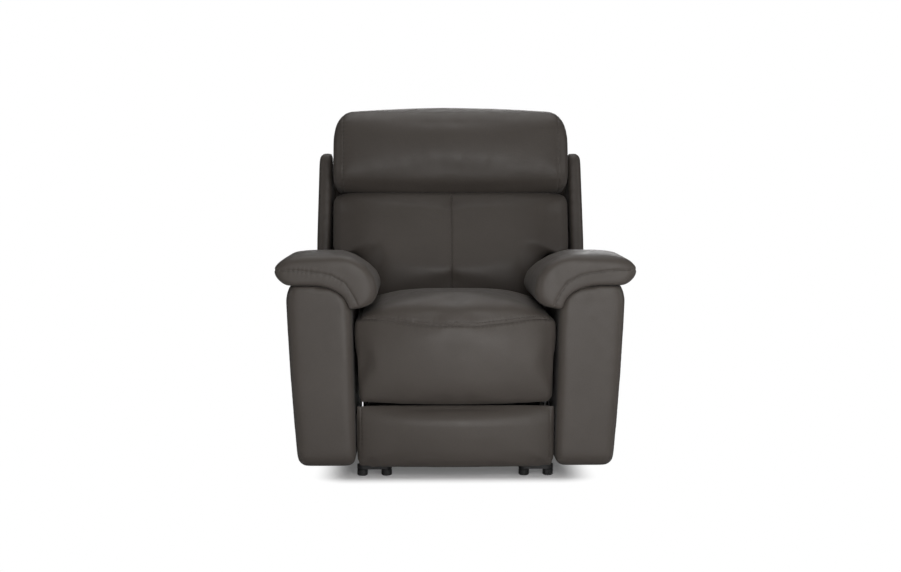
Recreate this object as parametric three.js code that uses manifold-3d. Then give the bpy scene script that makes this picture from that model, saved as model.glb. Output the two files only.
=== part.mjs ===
// A powered recliner armchair for a home cinema: one seat between two padded arms, with a
// footrest on a double parallelogram linkage, a reclining back and a tilting headrest.
// Millimetres, +Z up. The origin is on the floor under the middle; the seat faces -Y.
// Left and right are as seen from the front, so left is -X.
// Side views are drawn in (forward, up): forward is -Y.

import * as THREE from "three";
import { mergeVertices } from "three/addons/utils/BufferGeometryUtils.js";
import Module from "manifold-3d";

const wasm = await Module();
wasm.setup();

// Shared fits
const gap = 0.3; // between pieces that touch
const runningGap = 0.4; // round a pin that turns
const overrun = 5; // how far a cutter passes the face it opens
const roundSteps = 12; // facets round a pin or a hole
const curveSteps = 4; // facets in a quarter round of an upholstered edge
const mergeDistance = 0.001;

// Four places set the rest: the side plates the widths, the footrest's drive pivot the heights,
// and the seat's front and the back's hinge the depths
const sidePlateMiddle = 272;
const pivotHeight = 285;
const seatFrontForward = 474;
const hingeForward = -212;
const floorClear = 42; // under the arms

// Seat
const seatOverlap = 12; // past the side plates
const seatHalf = sidePlateMiddle + seatOverlap;
const ledgeRise = 37;
const seatLedgeHeight = pivotHeight + ledgeRise;
const seatPanelRise = 119;
const seatPanelTop = seatLedgeHeight + seatPanelRise;
const seatPanelDrop = 73;
const seatPanelBottom = pivotHeight - seatPanelDrop;
const seatPanelLowOverlap = 8;
const seatPanelHalfLow = sidePlateMiddle + seatPanelLowOverlap;
const seatPanelHighOverlap = 14;
const seatPanelHalfHigh = sidePlateMiddle + seatPanelHighOverlap;
const seatPanelThickness = 56;
const seatPanelRound = 12;
const seatBow = 36; // how far the seat's front and the footrest stand out in the middle
const frontCrown = 18; // and how far halfway up
const seatEdgeRise = 11;
const seatEdgeHeight = seatPanelTop + seatEdgeRise;
const seatCrownRise = 72;
const seatCrownHeight = seatPanelTop + seatCrownRise;
const seatMeetDrop = 28; // where the top dips under the back cushion
const seatMeetHeight = seatCrownHeight - seatMeetDrop;
const seatMeetDepth = 150; // forward of the hinge
const seatMeetForward = hingeForward + seatMeetDepth;
const seatRearDepth = 64;
const seatRearForward = hingeForward + seatRearDepth;
const seatRearDrop = 26;
const seatRearHeight = seatPanelTop - seatRearDrop;
const seatNoseDepth = 60;
const seatFrameInset = 7;
const seatFrameHalf = sidePlateMiddle - seatFrameInset;
const seatFrameTube = 25;
const seatFrameDepth = 62;
const seatFrameRear = hingeForward + seatFrameDepth;
const wireRadius = 2;
const wireRuns = 8;
const wireInset = 10;

// Arms
const armFrontSetback = 4;
const armFrontForward = seatFrontForward - armFrontSetback;
const armRearInset = 51;
const armRearForward = hingeForward + armRearInset;
const armRearTopForward = hingeForward;
const armBottomHeight = floorClear;
const armRise = 36;
const armTopHeight = seatCrownHeight + armRise;
const armPlateClear = 10;
const armInnerBottom = sidePlateMiddle + armPlateClear;
const armSpread = 13; // how far the arms draw apart toward the top
const armInnerTop = armInnerBottom + armSpread;
const armWidthBottom = 161;
const armOuterBottom = armInnerBottom + armWidthBottom;
const armWidthTop = 182;
const armOuterTop = armInnerTop + armWidthTop;
const armEdgeRound = 24;
const armToeRound = 36;
const armShoulderWidth = 104; // where the top pad wraps down over the inner edge
const armShoulderDrop = 71;

// Arm pads
const padNose = 6;
const padFrontForward = seatFrontForward + padNose;
const padTail = 6;
const padRearForward = hingeForward - padTail;
const padOverhang = 31;
const padOuter = armOuterTop + padOverhang;
const padTipRise = 43;
const padTipHeight = armTopHeight + padTipRise;
const padThickness = 87;
const padTopHeight = armTopHeight + padThickness;
const padCrestLength = 120; // from the front to the crest, behind which the top falls
const padCrestForward = padFrontForward - padCrestLength;
const padFall = 34;
const padSeatReach = 87; // over the seat
const padInner = armInnerTop - padSeatReach;
const padBulgeDrop = 106;
const padBulgeHeight = padTopHeight - padBulgeDrop;
const padUnderReach = 54;
const padCrestSetback = 23;
const padCrestInner = armInnerTop + padCrestSetback;
const padTipReach = 44;
const padRearRound = 16;
const padSeatLine = armTopHeight - armShoulderDrop;
const padUnderLift = 6;
const padUnderHeight = padSeatLine + padUnderLift;
const padFrontRound = 30;
const padBayLead = 52; // the inner bulge starts to run out, in front of the back cushion
const padBayStart = seatMeetForward + padBayLead;
const padBayLength = 60;
const padBayEnd = padBayStart - padBayLength;
const padBayLip = 7;
const padBayInner = armInnerTop - padBayLip;

// Feet and rails
const glideRadius = 15;
const glideHeight = 20;
const glideLip = 3;
const studRadius = 4;
const footPlateTop = 32;
const footPlateWall = 3;
const footPlateOverlap = 9;
const footPlateOuter = sidePlateMiddle + footPlateOverlap;
const footPlateLength = 99;
const footPlateInner = footPlateOuter - footPlateLength;
const footPlateDepth = 40;
const footPlateRound = 18;
const footSetback = 86;
const footFrontForward = seatFrontForward - footSetback;
const footTail = 50;
const footRearForward = hingeForward - footTail;
const railInset = 40;
const railOuter = sidePlateMiddle - railInset;
const railWidth = 27;
const railInner = railOuter - railWidth;
const railTop = 80;
const railWall = 3;
const railNose = 14;
const railFrontForward = footFrontForward + railNose;
const railTail = 38;
const railRearForward = footRearForward - railTail;

// Side plates of the mechanism, and the layers of plates inboard of them
const plate = 4;
const layerGap = 3;
const crankLayer = sidePlateMiddle - plate - layerGap; // front and rear footrest links
const barLayer = crankLayer - plate - layerGap; // lower and upper footrest bars
const bracketLayer = barLayer - plate - layerGap; // footrest brackets
const pinRadius = 4;
const headRadius = 6.5;
const headHeight = 1.2;
const sideBarHalf = 20;
const legHalf = 14;
const seatLedgeWidth = 36;
const seatLedgeInner = sidePlateMiddle - seatLedgeWidth;
const seatLedgeDepth = 72;
const seatLedgeRear = hingeForward + seatLedgeDepth;
const rearFootDepth = 47;
const rearFootRear = hingeForward + rearFootDepth;
const rearFootLength = 70;
const rearFootFront = rearFootRear + rearFootLength;
const kneeSetback = 8;
const kneeForward = footFrontForward - kneeSetback;
const kneeHeight = 90;
const armBossRadius = 12;
const armBossForwards = [110, -110];
const bossRise = 9;
const armBossHeight = pivotHeight + bossRise;

// Footrest panel
const footrestHalf = seatPanelHalfLow;
const footrestHang = 7; // below the arms
const footrestBottom = floorClear - footrestHang;
const footrestClear = 3;
const footrestTop = seatPanelBottom - footrestClear;
const footrestBoard = 12;
const footrestSetback = 2;
const footrestPadFront = seatFrontForward - footrestSetback;
const footrestDepth = 62;
const footrestBoardBack = footrestPadFront - footrestDepth;
const footrestCornerRound = 16;
const footrestBoardInset = 9;
const footrestFlange = 18;
const footrestFlangeLift = 35;
const footrestFlangeLow = footrestBottom + footrestFlangeLift;
const footrestFlangeDrop = 32;
const footrestFlangeHigh = footrestTop - footrestFlangeDrop;

// Footrest linkage, closed position: two equal cranks carry two equal bars
const pivotSetback = 135; // behind the footrest board
const drivePivot = new THREE.Vector2(footrestBoardBack - pivotSetback, pivotHeight);
const crankClosedAngle = THREE.MathUtils.degToRad(-127.34);
const crankLength = 225;
const crankLowerPin = new THREE.Vector2(188.5, -10); // along and across the crank
const rearPinOffset = new THREE.Vector2(-45, -4); // from the crank's lower pin
const barAngle = THREE.MathUtils.degToRad(27);
const barLength = 204;
const crankEnd = 11;
const crankHub = 17;
const barEnd = 10.5;
const driveTubeRadius = 12;
const driveTubeOverhang = 3;
const leverRadius = 45;
const leverAngle = THREE.MathUtils.degToRad(-135.5);
const leverGapHalf = 5;
const leverPlate = 5;
const leverHub = 20;
const leverEnd = 9;
const seatLedgeSetback = 15;
const seatLedgeFront = drivePivot.x - seatLedgeSetback;

// Cross tubes and drives
const crossTube = 25;
const crossTubeWall = 2;
const reclineTubeForward = 60;
const footrestTubeForward = -60;
const rodRadius = 7;
const driveBore = 7.6;
const driveTubeOuter = 16;
const motorWidth = 58;
const motorHeight = 74;
const motorLength = 96;
const motorRound = 9;
const leverDrop = 38.5; // of the footrest drive's rod, at the middle of the lever's travel
const footrestRodHeight = pivotHeight - leverDrop;
const footrestHousingSetback = 67;
const footrestHousingFront = drivePivot.x - footrestHousingSetback;
const reclineHousingLead = 84;
const reclineHousingRear = hingeForward + reclineHousingLead;
const rodTongue = 8;
const rodInside = 130;
const reclineRodInside = 160;
const leverUneven = 1.9; // side play in the tongue's slot, as the lever's travel is not quite even

// Back, drawn in its own frame: origin at the hinge, Y to the rear, Z up along the back
const hingeRise = 15;
const hingeHeight = pivotHeight + hingeRise;
const armRearKneeHeight = hingeHeight;
const hingePinRadius = 8;
const hingeHeadRadius = 12;
const backTilt = THREE.MathUtils.degToRad(12);
const reclineArm = 150;
const reclineArmAngle = THREE.MathUtils.degToRad(16);
const reclineTubeRadius = 11;
const bracketHub = 24;
const bracketEnd = 17;

// Back cushion
const backSeatClear = 2;
const backNarrowHalf = seatHalf - backSeatClear;
const shellInset = 49;
const shellHalf = armOuterTop - shellInset;
const earWidth = 45;
const earInner = shellHalf - earWidth;
const earClear = 3;
const backWideHalf = earInner - earClear;
const backLift = 7;
const backCushionBottom = seatRearHeight - hingeHeight + backLift;
const shoulderDrop = 4; // below the arm pads' crest
const backShoulderHeight = padTopHeight - hingeHeight - shoulderDrop;
const chestRise = 173;
const backCushionTop = backShoulderHeight + chestRise;
const backFrontLow = -seatMeetDepth;
const lumbarDepth = 15;
const backFrontLumbar = backFrontLow - lumbarDepth;
const chestSetback = 30;
const backFrontHigh = backFrontLow + chestSetback;
const backSideRound = 46;
const backEdgeRound = 26;
const backLipRound = 8; // of the lower edge over the arm pads
const shoulderSpread = 16; // how far the sides spread under that edge
const backSeamDepth = 4;
const backSeamHalf = 9;

// Back shell and frame
const shellPanelFront = 95;
const shellPanelThickness = 52.9;
const shellPanelRear = shellPanelFront + shellPanelThickness;
const shellRound = 22;
const shellTopRound = 30;
const shellDrop = 140;
const shellBottom = -shellDrop;
const earFront = -40;
const earFrontLow = 80;
const earInnerRound = 12;
const frameSetback = 35;
const backFrameFront = shellPanelFront - frameSetback;
const backFrameOuter = crankLayer - plate / 2 - gap;
const backFrameMember = 28;
const backFrameBottom = 20;
const frameMiddleRise = 1;
const backFrameMiddle = backShoulderHeight + frameMiddleRise;
const bracketRise = 68;
const bracketUpperHeight = backCushionBottom + bracketRise;

// Headrest
const headInset = 4;
const headHalf = backWideHalf - headInset;
const headPivotForward = 88;
const headPivotRise = 67;
const headPivot = new THREE.Vector2(headPivotForward, backCushionTop + headPivotRise); // forward and up
const headClear = 10;
const headFrontRadius = 62;
const headRearRadius = headPivotForward + backFrameFront - headClear;
const headRise = 200;
const headTop = headPivot.y + headRise;
const headCrownDepth = 40;
const headFrontCrown = 74;
const headEndShrink = 24;
const headEndRound = 52;
const headArch = 8; // how far the top stands up in the middle
const headTubeRadius = 10;
const headArmAt = 150;
const headArmPlate = 5;
const headArmEye = 16;
const headArmEnd = 13;
const headArmFlange = 16;
const headArmDrop = 10;
const headPocketHalf = 6;
const headTravel = THREE.MathUtils.degToRad(30);
const pocketMargin = THREE.MathUtils.degToRad(4);
const shellHeadroom = 67;
const shellTop = headPivot.y + shellHeadroom;
const frameTopDrop = 39;
const backFrameTop = shellTop - frameTopDrop;

// Switch panel in the outer face of the left arm
const panelSetback = 170;
const panelForward = armFrontForward - panelSetback;
const buttonCount = 4;
const buttonPitch = 22;
const buttonHalf = 7.5;
const buttonProud = 3;
const buttonLength = 12;
const buttonCollar = 1.5;
const panelMargin = 7.5;
const panelLength = (buttonCount - 1) * buttonPitch + 2 * (buttonHalf + panelMargin);
const panelWidth = 34;
const panelDrop = 62; // from the arm's top to the panel
const panelHeight = armTopHeight - panelDrop - panelWidth / 2;
const panelPlate = 4;
const panelProud = 1.5;
const panelRound = 9;
const panelPocketDepth = 16;
const panelLedge = 4;

// Power inlet on the end of the right rail
const inletWidth = 24;
const inletHeight = 30;
const inletDepth = 26;
const inletBore = 4;
const inletBoreDepth = 15;

const leather = () => new THREE.MeshStandardMaterial({ color: 0x524c47, roughness: 0.48, metalness: 0 });
const blackSteel = () => new THREE.MeshStandardMaterial({ color: 0x26272a, roughness: 0.45, metalness: 0.8 });
const zincSteel = () => new THREE.MeshStandardMaterial({ color: 0x9a9da1, roughness: 0.35, metalness: 1 });
const blackPlastic = () => new THREE.MeshStandardMaterial({ color: 0x151516, roughness: 0.6, metalness: 0 });
const board = () => new THREE.MeshStandardMaterial({ color: 0xb08a5c, roughness: 0.75, metalness: 0 });

const chair = new THREE.Group();
const back = new THREE.Group();
back.position.set(0, -hingeForward, hingeHeight);
back.rotation.x = -backTilt;
chair.add(back);

function piece(name, geometry, material, group = chair) {
  const mesh = new THREE.Mesh(skin(geometry), material);
  mesh.name = name;
  group.add(mesh);
  return mesh;
}

// Solids from geometry, and back again

// Shared corners merged, and the triangles that merging leaves without an area dropped
function skin(geometry) {
  const bare = geometry.clone();
  bare.deleteAttribute("normal");
  bare.deleteAttribute("uv");
  const merged = mergeVertices(bare, mergeDistance);
  const corners = Array.from(merged.index.array);
  const kept = corners.filter((_, i) => {
    const [a, b, c] = corners.slice(i - (i % 3), i - (i % 3) + 3);
    return a !== b && b !== c && c !== a;
  });
  merged.setIndex(kept);
  return merged;
}

function solid(geometry) {
  const merged = skin(geometry);
  return new wasm.Manifold(new wasm.Mesh({
    numProp: 3,
    vertProperties: Float32Array.from(merged.attributes.position.array),
    triVerts: Uint32Array.from(merged.index.array),
  }));
}

function geometryOf(manifold) {
  const mesh = manifold.getMesh();
  const geometry = new THREE.BufferGeometry();
  geometry.setAttribute("position", new THREE.BufferAttribute(mesh.vertProperties, 3));
  geometry.setIndex(new THREE.BufferAttribute(mesh.triVerts, 1));
  return geometry;
}

const joined = (first, ...rest) => geometryOf(rest.reduce((sum, g) => sum.add(solid(g)), solid(first)));
const cut = (first, ...rest) => geometryOf(rest.reduce((sum, g) => sum.subtract(solid(g)), solid(first)));
const common = (first, second) => geometryOf(solid(first).intersect(solid(second)));

// The same geometry seen in a mirror across the plane x = 0, with its faces still outward
const mirrored = (geometry) => turnedOut(skin(geometry).scale(-1, 1, 1));

// Shapes and the ways they are turned into solids

// Turns a shape drawn in (forward, up), extruded on Z, into a slab across X
const sideways = new THREE.Matrix4().makeBasis(
  new THREE.Vector3(0, -1, 0), new THREE.Vector3(0, 0, 1), new THREE.Vector3(-1, 0, 0));

// A slab drawn in side view, centred on x = middle
function sideSlab(shape, thickness, middle = 0, round = 0) {
  const geometry = new THREE.ExtrudeGeometry(shape, {
    depth: thickness - 2 * round, bevelEnabled: round > 0, bevelSize: round,
    bevelThickness: round, bevelOffset: -round, bevelSegments: curveSteps, curveSegments: curveSteps,
  });
  geometry.translate(0, 0, round - thickness / 2);
  geometry.applyMatrix4(sideways);
  return geometry.translate(middle, 0, 0);
}

// A slab drawn in front view (x, up), between two distances forward
function frontSlab(shape, fromForward, toForward, round = 0) {
  const depth = toForward - fromForward;
  const geometry = new THREE.ExtrudeGeometry(shape, {
    depth: depth - 2 * round, bevelEnabled: round > 0, bevelSize: round,
    bevelThickness: round, bevelOffset: -round, bevelSegments: curveSteps, curveSegments: curveSteps,
  });
  geometry.rotateX(Math.PI / 2);
  return geometry.translate(0, -fromForward - round, 0);
}

function box(x0, x1, y0, y1, z0, z1) {
  const geometry = new THREE.BoxGeometry(x1 - x0, y1 - y0, z1 - z0);
  return geometry.translate((x0 + x1) / 2, (y0 + y1) / 2, (z0 + z1) / 2);
}

// A round bar across X, at a point of the side view
function crossBar(radius, fromX, toX, point, steps = roundSteps) {
  const geometry = new THREE.CylinderGeometry(radius, radius, toX - fromX, steps);
  geometry.rotateZ(Math.PI / 2);
  return geometry.translate((fromX + toX) / 2, -point.x, point.y);
}

const polar = (length, angle) => new THREE.Vector2(length * Math.cos(angle), length * Math.sin(angle));

// The outline stretched round several circles, as [centre, radius] pairs
function stretched(circles, steps = 2 * curveSteps + roundSteps / 2) {
  const points = circles.flatMap(([centre, radius]) => Array.from({ length: steps }, (_, i) =>
    polar(radius, (2 * Math.PI * i) / steps).add(centre)));
  points.sort((a, b) => a.x - b.x || a.y - b.y);
  const turnsRight = (a, b, c) => (b.x - a.x) * (c.y - a.y) - (b.y - a.y) * (c.x - a.x) <= 0;
  const half = (list) => list.reduce((kept, point) => {
    while (kept.length > 1 && turnsRight(kept.at(-2), kept.at(-1), point)) kept.pop();
    kept.push(point);
    return kept;
  }, []);
  const lower = half(points);
  const upper = half(points.toReversed());
  return new THREE.Shape([...lower.slice(0, -1), ...upper.slice(0, -1)]);
}

function roundedRectangle(x0, x1, y0, y1, radius) {
  const shape = new THREE.Shape();
  shape.moveTo(x0 + radius, y0);
  shape.lineTo(x1 - radius, y0);
  shape.absarc(x1 - radius, y0 + radius, radius, -Math.PI / 2, 0);
  shape.lineTo(x1, y1 - radius);
  shape.absarc(x1 - radius, y1 - radius, radius, 0, Math.PI / 2);
  shape.lineTo(x0 + radius, y1);
  shape.absarc(x0 + radius, y1 - radius, radius, Math.PI / 2, Math.PI);
  shape.lineTo(x0, y0 + radius);
  shape.absarc(x0 + radius, y0 + radius, radius, Math.PI, Math.PI * 1.5);
  return shape;
}

function rectangle(x0, x1, y0, y1) {
  return new THREE.Shape([[x0, y0], [x1, y0], [x1, y1], [x0, y1]].map(([x, y]) => new THREE.Vector2(x, y)));
}

// A straight plate with round ends between two points
const strap = (from, to, radius, endRadius = radius) => stretched([[from, radius], [to, endRadius]]);

const outline = (pairs) => new THREE.Shape(pairs.map(([x, y]) => new THREE.Vector2(x, y)));

// A shape's points, as many for any sizes: straight stretches give one, round ones a few
function ringOf(shape) {
  const curves = shape.curves.filter((curve) => curve.getLength() > mergeDistance);
  const points = curves.flatMap((curve) => curve.getPoints(curve.isLineCurve ? 1 : curveSteps).slice(1));
  return [curves[0].getPoint(0), ...points];
}

// A closed skin over matching rings of points; each end is flat in the two axes named
function loft(rings, axes) {
  const count = rings[0].length;
  const triangles = [];
  for (let ring = 0; ring + 1 < rings.length; ring += 1) {
    for (let k = 0; k < count; k += 1) {
      const [a, b] = [ring * count + k, ring * count + ((k + 1) % count)];
      triangles.push(a, b, b + count, a, b + count, a + count);
    }
  }
  const lid = (ring) => {
    const flat = ring.map((p) => new THREE.Vector2(p[axes[0]], p[axes[1]]));
    const faces = THREE.ShapeUtils.triangulateShape(flat, []);
    return THREE.ShapeUtils.area(flat) < 0 ? faces.map(([a, b, c]) => [a, c, b]) : faces;
  };
  const last = (rings.length - 1) * count;
  lid(rings[0]).forEach(([a, b, c]) => triangles.push(a, c, b));
  lid(rings.at(-1)).forEach(([a, b, c]) => triangles.push(last + a, last + b, last + c));
  const geometry = new THREE.BufferGeometry();
  const places = rings.flat().flatMap((p) => p.toArray());
  geometry.setAttribute("position", new THREE.Float32BufferAttribute(places, 3));
  geometry.setIndex(triangles);
  return turnedOut(geometry);
}

// Turns every face round when the skin encloses a negative volume
function turnedOut(geometry) {
  const index = geometry.index.array;
  const at = (i) => new THREE.Vector3().fromBufferAttribute(geometry.attributes.position, index[i]);
  let volume = 0;
  for (let i = 0; i < index.length; i += 3) volume += at(i).dot(at(i + 1).cross(at(i + 2)));
  if (volume < 0) {
    for (let i = 0; i < index.length; i += 3) [index[i], index[i + 1]] = [index[i + 1], index[i]];
  }
  return geometry;
}

// A bent wire lying level, through a list of (x, y) points at one height
function wire(points, radius, height, sides = 6) {
  const rings = points.map((point, i) => {
    const ahead = points[Math.min(i + 1, points.length - 1)].clone();
    const way = ahead.sub(points[Math.max(i - 1, 0)]).normalize();
    return Array.from({ length: sides }, (_, k) => {
      const turn = (2 * Math.PI * k) / sides;
      const out = radius * Math.cos(turn);
      const up = radius * Math.sin(turn);
      return new THREE.Vector3(point.x - way.y * out, point.y + way.x * out, height + up);
    });
  });
  return loft(rings, ["y", "z"]);
}

// Pivot places of the footrest linkage in side view, closed

const lowerPivot = crankLowerPin.clone().rotateAround(new THREE.Vector2(), crankClosedAngle).add(drivePivot);
const upperPivot = polar(crankLength, crankClosedAngle).add(drivePivot);
const rearPin = lowerPivot.clone().add(rearPinOffset);
const rearPivot = drivePivot.clone().add(rearPinOffset);
const barReach = polar(barLength, barAngle);
const lowerBarTip = lowerPivot.clone().add(barReach);
const upperBarTip = upperPivot.clone().add(barReach);
const hinge = new THREE.Vector2(hingeForward, hingeHeight);
const leverPin = polar(leverRadius, leverAngle).add(drivePivot);

// A pin that starts inside one plate and passes another, with a head on the far side
function rivet(point, fromMiddle, toMiddle, radius = pinRadius, head = headRadius) {
  const way = Math.sign(toMiddle - fromMiddle);
  const farFace = toMiddle + way * (plate / 2 + gap);
  const tip = farFace + way * headHeight;
  const shank = crossBar(radius, Math.min(fromMiddle, tip), Math.max(fromMiddle, tip), point);
  const cap = crossBar(head, Math.min(farFace, tip), Math.max(farFace, tip), point);
  return joined(shank, cap);
}

const pinHole = (point, middle, radius = pinRadius) =>
  crossBar(radius + runningGap, middle - plate, middle + plate, point);

// A link plate in its layer: its outlines joined, its rivets added and its holes cut
function linkPlate(outlines, layer, rivets, holes) {
  const blank = joined(...outlines.map((shape) => sideSlab(shape, plate, layer)), ...rivets);
  return holes.length ? cut(blank, ...holes) : blank;
}

// Feet and rails

function glide() {
  const stem = footPlateTop - footPlateWall - gap;
  const profile = [
    [0, 0], [glideRadius - glideLip, 0], [glideRadius, glideLip],
    [glideRadius, glideHeight - glideLip - gap], [glideRadius - glideLip, glideHeight - gap],
    [studRadius, glideHeight - gap], [studRadius, stem], [0, stem],
  ].map(([x, y]) => new THREE.Vector2(x, y));
  const geometry = new THREE.LatheGeometry(profile, roundSteps);
  return geometry.rotateX(Math.PI / 2);
}

// A pressed steel foot, open below, with round ends
function footPlate(middleForward) {
  const front = middleForward + footPlateDepth / 2;
  const rear = middleForward - footPlateDepth / 2;
  const pressing = (inset, low, high) => {
    const shape = roundedRectangle(footPlateInner + inset, footPlateOuter - inset,
      rear + inset, front - inset, footPlateRound - inset);
    const geometry = new THREE.ExtrudeGeometry(shape, {
      depth: high - low, bevelEnabled: false, curveSegments: curveSteps,
    });
    return turnedOut(skin(geometry).scale(1, -1, 1)).translate(0, 0, low);
  };
  return cut(pressing(0, glideHeight, footPlateTop),
    pressing(footPlateWall, glideHeight - overrun, footPlateTop - footPlateWall));
}

// A channel section rail, open toward the middle of the chair
function rail() {
  const bottom = footPlateTop + gap;
  const web = railOuter - railWall;
  const channel = outline([
    [railInner, bottom], [railOuter, bottom], [railOuter, railTop], [railInner, railTop],
    [railInner, railTop - railWall], [web, railTop - railWall],
    [web, bottom + railWall], [railInner, bottom + railWall],
  ]);
  return frontSlab(channel, railRearForward, railFrontForward);
}

function hollowTube(half, point) {
  const side = crossTube / 2;
  const section = rectangle(point.x - side, point.x + side, point.y - side, point.y + side);
  const bore = side - crossTubeWall;
  section.holes.push(rectangle(point.x - bore, point.x + bore, point.y - bore, point.y + bore));
  return sideSlab(section, 2 * half);
}

// One side of the mechanism: a plate with two legs, a ledge for the seat frame, a foot on
// the rail, bosses for the arm, and the fixed pins of the linkage and the back
function sidePlate() {
  const inner = sidePlateMiddle - plate / 2;
  const outer = sidePlateMiddle + plate / 2;
  const knee = new THREE.Vector2(kneeForward, kneeHeight);
  const frontFoot = new THREE.Vector2(footFrontForward, footPlateTop + gap + legHalf);
  const rearFoot = new THREE.Vector2((rearFootFront + rearFootRear) / 2, railTop + gap + legHalf);
  const tubeAnchors = [[reclineTubeForward, reclineRodHeight], [footrestTubeForward, footrestRodHeight]];
  const sheet = (shape) => sideSlab(shape, plate, sidePlateMiddle);
  const body = joined(
    sheet(strap(hinge, drivePivot, bracketHub, sideBarHalf)),
    sheet(strap(drivePivot, knee, sideBarHalf, legHalf)),
    sheet(strap(knee, frontFoot, legHalf)),
    sheet(rectangle(footFrontForward - legHalf, footFrontForward + legHalf, footPlateTop + gap, frontFoot.y)),
    sheet(strap(hinge, rearFoot, legHalf)),
    ...tubeAnchors.map(([forward, height]) => sheet(strap(new THREE.Vector2(forward, armBossHeight),
      new THREE.Vector2(forward, height), legHalf, sideBarHalf))),
    sheet(rectangle(seatLedgeRear, seatLedgeFront, hingeHeight, seatLedgeHeight)),
    box(seatLedgeInner, outer, -seatLedgeFront, -seatLedgeRear, seatLedgeHeight - plate, seatLedgeHeight),
    box(railInner, outer, -rearFootFront, -rearFootRear, railTop + gap, railTop + gap + plate),
    sheet(rectangle(rearFootRear, rearFootFront, railTop + gap, rearFoot.y)),
    rivet(rearPivot, sidePlateMiddle, crankLayer),
    rivet(hinge, sidePlateMiddle, crankLayer, hingePinRadius, hingeHeadRadius),
    ...armBossForwards.map((forward) => crossBar(armBossRadius, inner,
      armInnerAt(armBossHeight) - 2 * gap, new THREE.Vector2(forward, armBossHeight))),
  );
  return cut(body, crossBar(driveTubeRadius + runningGap, inner - overrun, outer + overrun,
    drivePivot, 2 * roundSteps));
}

// Footrest linkage

// Both cranks' tube, with a lever between them that its drive pushes
function driveTube() {
  const reach = sidePlateMiddle + plate / 2 + driveTubeOverhang;
  const web = (side) => sideSlab(stretched([[drivePivot, leverHub], [leverPin, leverEnd]]), leverPlate,
    side * (leverGapHalf + leverPlate / 2));
  return joined(
    crossBar(driveTubeRadius, -reach, reach, drivePivot, 2 * roundSteps),
    web(-1), web(1),
    crossBar(pinRadius, -leverGapHalf - leverPlate, leverGapHalf + leverPlate, leverPin),
  );
}

function frontCrank() {
  return linkPlate(
    [strap(drivePivot, lowerPivot, crankHub, crankEnd), strap(lowerPivot, upperPivot, crankEnd)], crankLayer,
    [rivet(lowerPivot, crankLayer, barLayer), rivet(upperPivot, crankLayer, barLayer)],
    [crossBar(driveTubeRadius + gap, crankLayer - plate, crankLayer + plate, drivePivot, 2 * roundSteps)],
  );
}

function rearCrank() {
  return linkPlate([strap(rearPivot, rearPin, crankEnd)], crankLayer,
    [rivet(rearPin, crankLayer, barLayer)], [pinHole(rearPivot, crankLayer)]);
}

function lowerBar() {
  return linkPlate(
    [strap(rearPin, lowerPivot, barEnd), strap(lowerPivot, lowerBarTip, barEnd)], barLayer, [],
    [rearPin, lowerPivot, lowerBarTip].map((point) => pinHole(point, barLayer)));
}

function upperBar() {
  return linkPlate([strap(upperPivot, upperBarTip, barEnd)], barLayer, [],
    [upperPivot, upperBarTip].map((point) => pinHole(point, barLayer)));
}

// Plate from the two bar tips to the back of the footrest board, with a turned flange
function footrestBracket() {
  const face = footrestBoardBack - gap;
  const inner = bracketLayer - plate / 2;
  const high = new THREE.Vector2(face - crankEnd, footrestFlangeHigh - crankEnd);
  const low = new THREE.Vector2(face - crankEnd, footrestFlangeLow + crankEnd);
  const web = (...points) =>
    sideSlab(stretched(points.map((point) => [point, crankEnd])), plate, bracketLayer);
  return joined(
    web(lowerBarTip, upperBarTip, high), web(upperBarTip, high, low),
    sideSlab(rectangle(high.x, face, low.y, high.y), plate, bracketLayer),
    box(inner - footrestFlange, inner + plate, -face, plate - face, footrestFlangeLow, footrestFlangeHigh),
    rivet(lowerBarTip, bracketLayer, barLayer), rivet(upperBarTip, bracketLayer, barLayer),
  );
}

function footrestBoardPanel() {
  const half = footrestHalf - footrestBoardInset;
  const low = footrestBottom + footrestBoardInset;
  const shape = roundedRectangle(-half, half, low, footrestTop - footrestBoardInset, footrestCornerRound);
  return frontSlab(shape, footrestBoardBack, footrestBoardBack + footrestBoard);
}

function footrestPad() {
  return bowedPanel(footrestBoardBack + footrestBoard + gap, footrestPadFront, footrestBottom,
    footrestTop, () => footrestHalf, footrestCornerRound);
}

// Linear drives: a housing with a motor, and a rod with a slotted tongue

function alongBar(radius, fromForward, toForward, height, steps = 2 * roundSteps) {
  const geometry = new THREE.CylinderGeometry(radius, radius, toForward - fromForward, steps);
  return geometry.translate(0, -(fromForward + toForward) / 2, height);
}

// The motor lies across the tube at its fixed end, against the cross tube that carries it
function driveHousing(fixedForward, openForward, height) {
  const way = Math.sign(openForward - fixedForward);
  const motorEnd = fixedForward + way * motorLength;
  const span = (from, to) => [Math.min(from, to), Math.max(from, to)];
  const [low, high] = span(fixedForward, motorEnd);
  const [rear, front] = span(fixedForward + (way * motorLength) / 2, openForward);
  const motorTop = height + motorWidth / 2;
  const body = joined(
    sideSlab(roundedRectangle(low, high, motorTop - motorHeight, motorTop, motorRound), motorWidth),
    alongBar(driveTubeOuter, rear, front, height),
  );
  const bore = span(motorEnd - (way * motorLength) / 2 - way * overrun, openForward + way * overrun);
  return cut(body, alongBar(driveBore + gap, ...bore, height));
}

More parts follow.
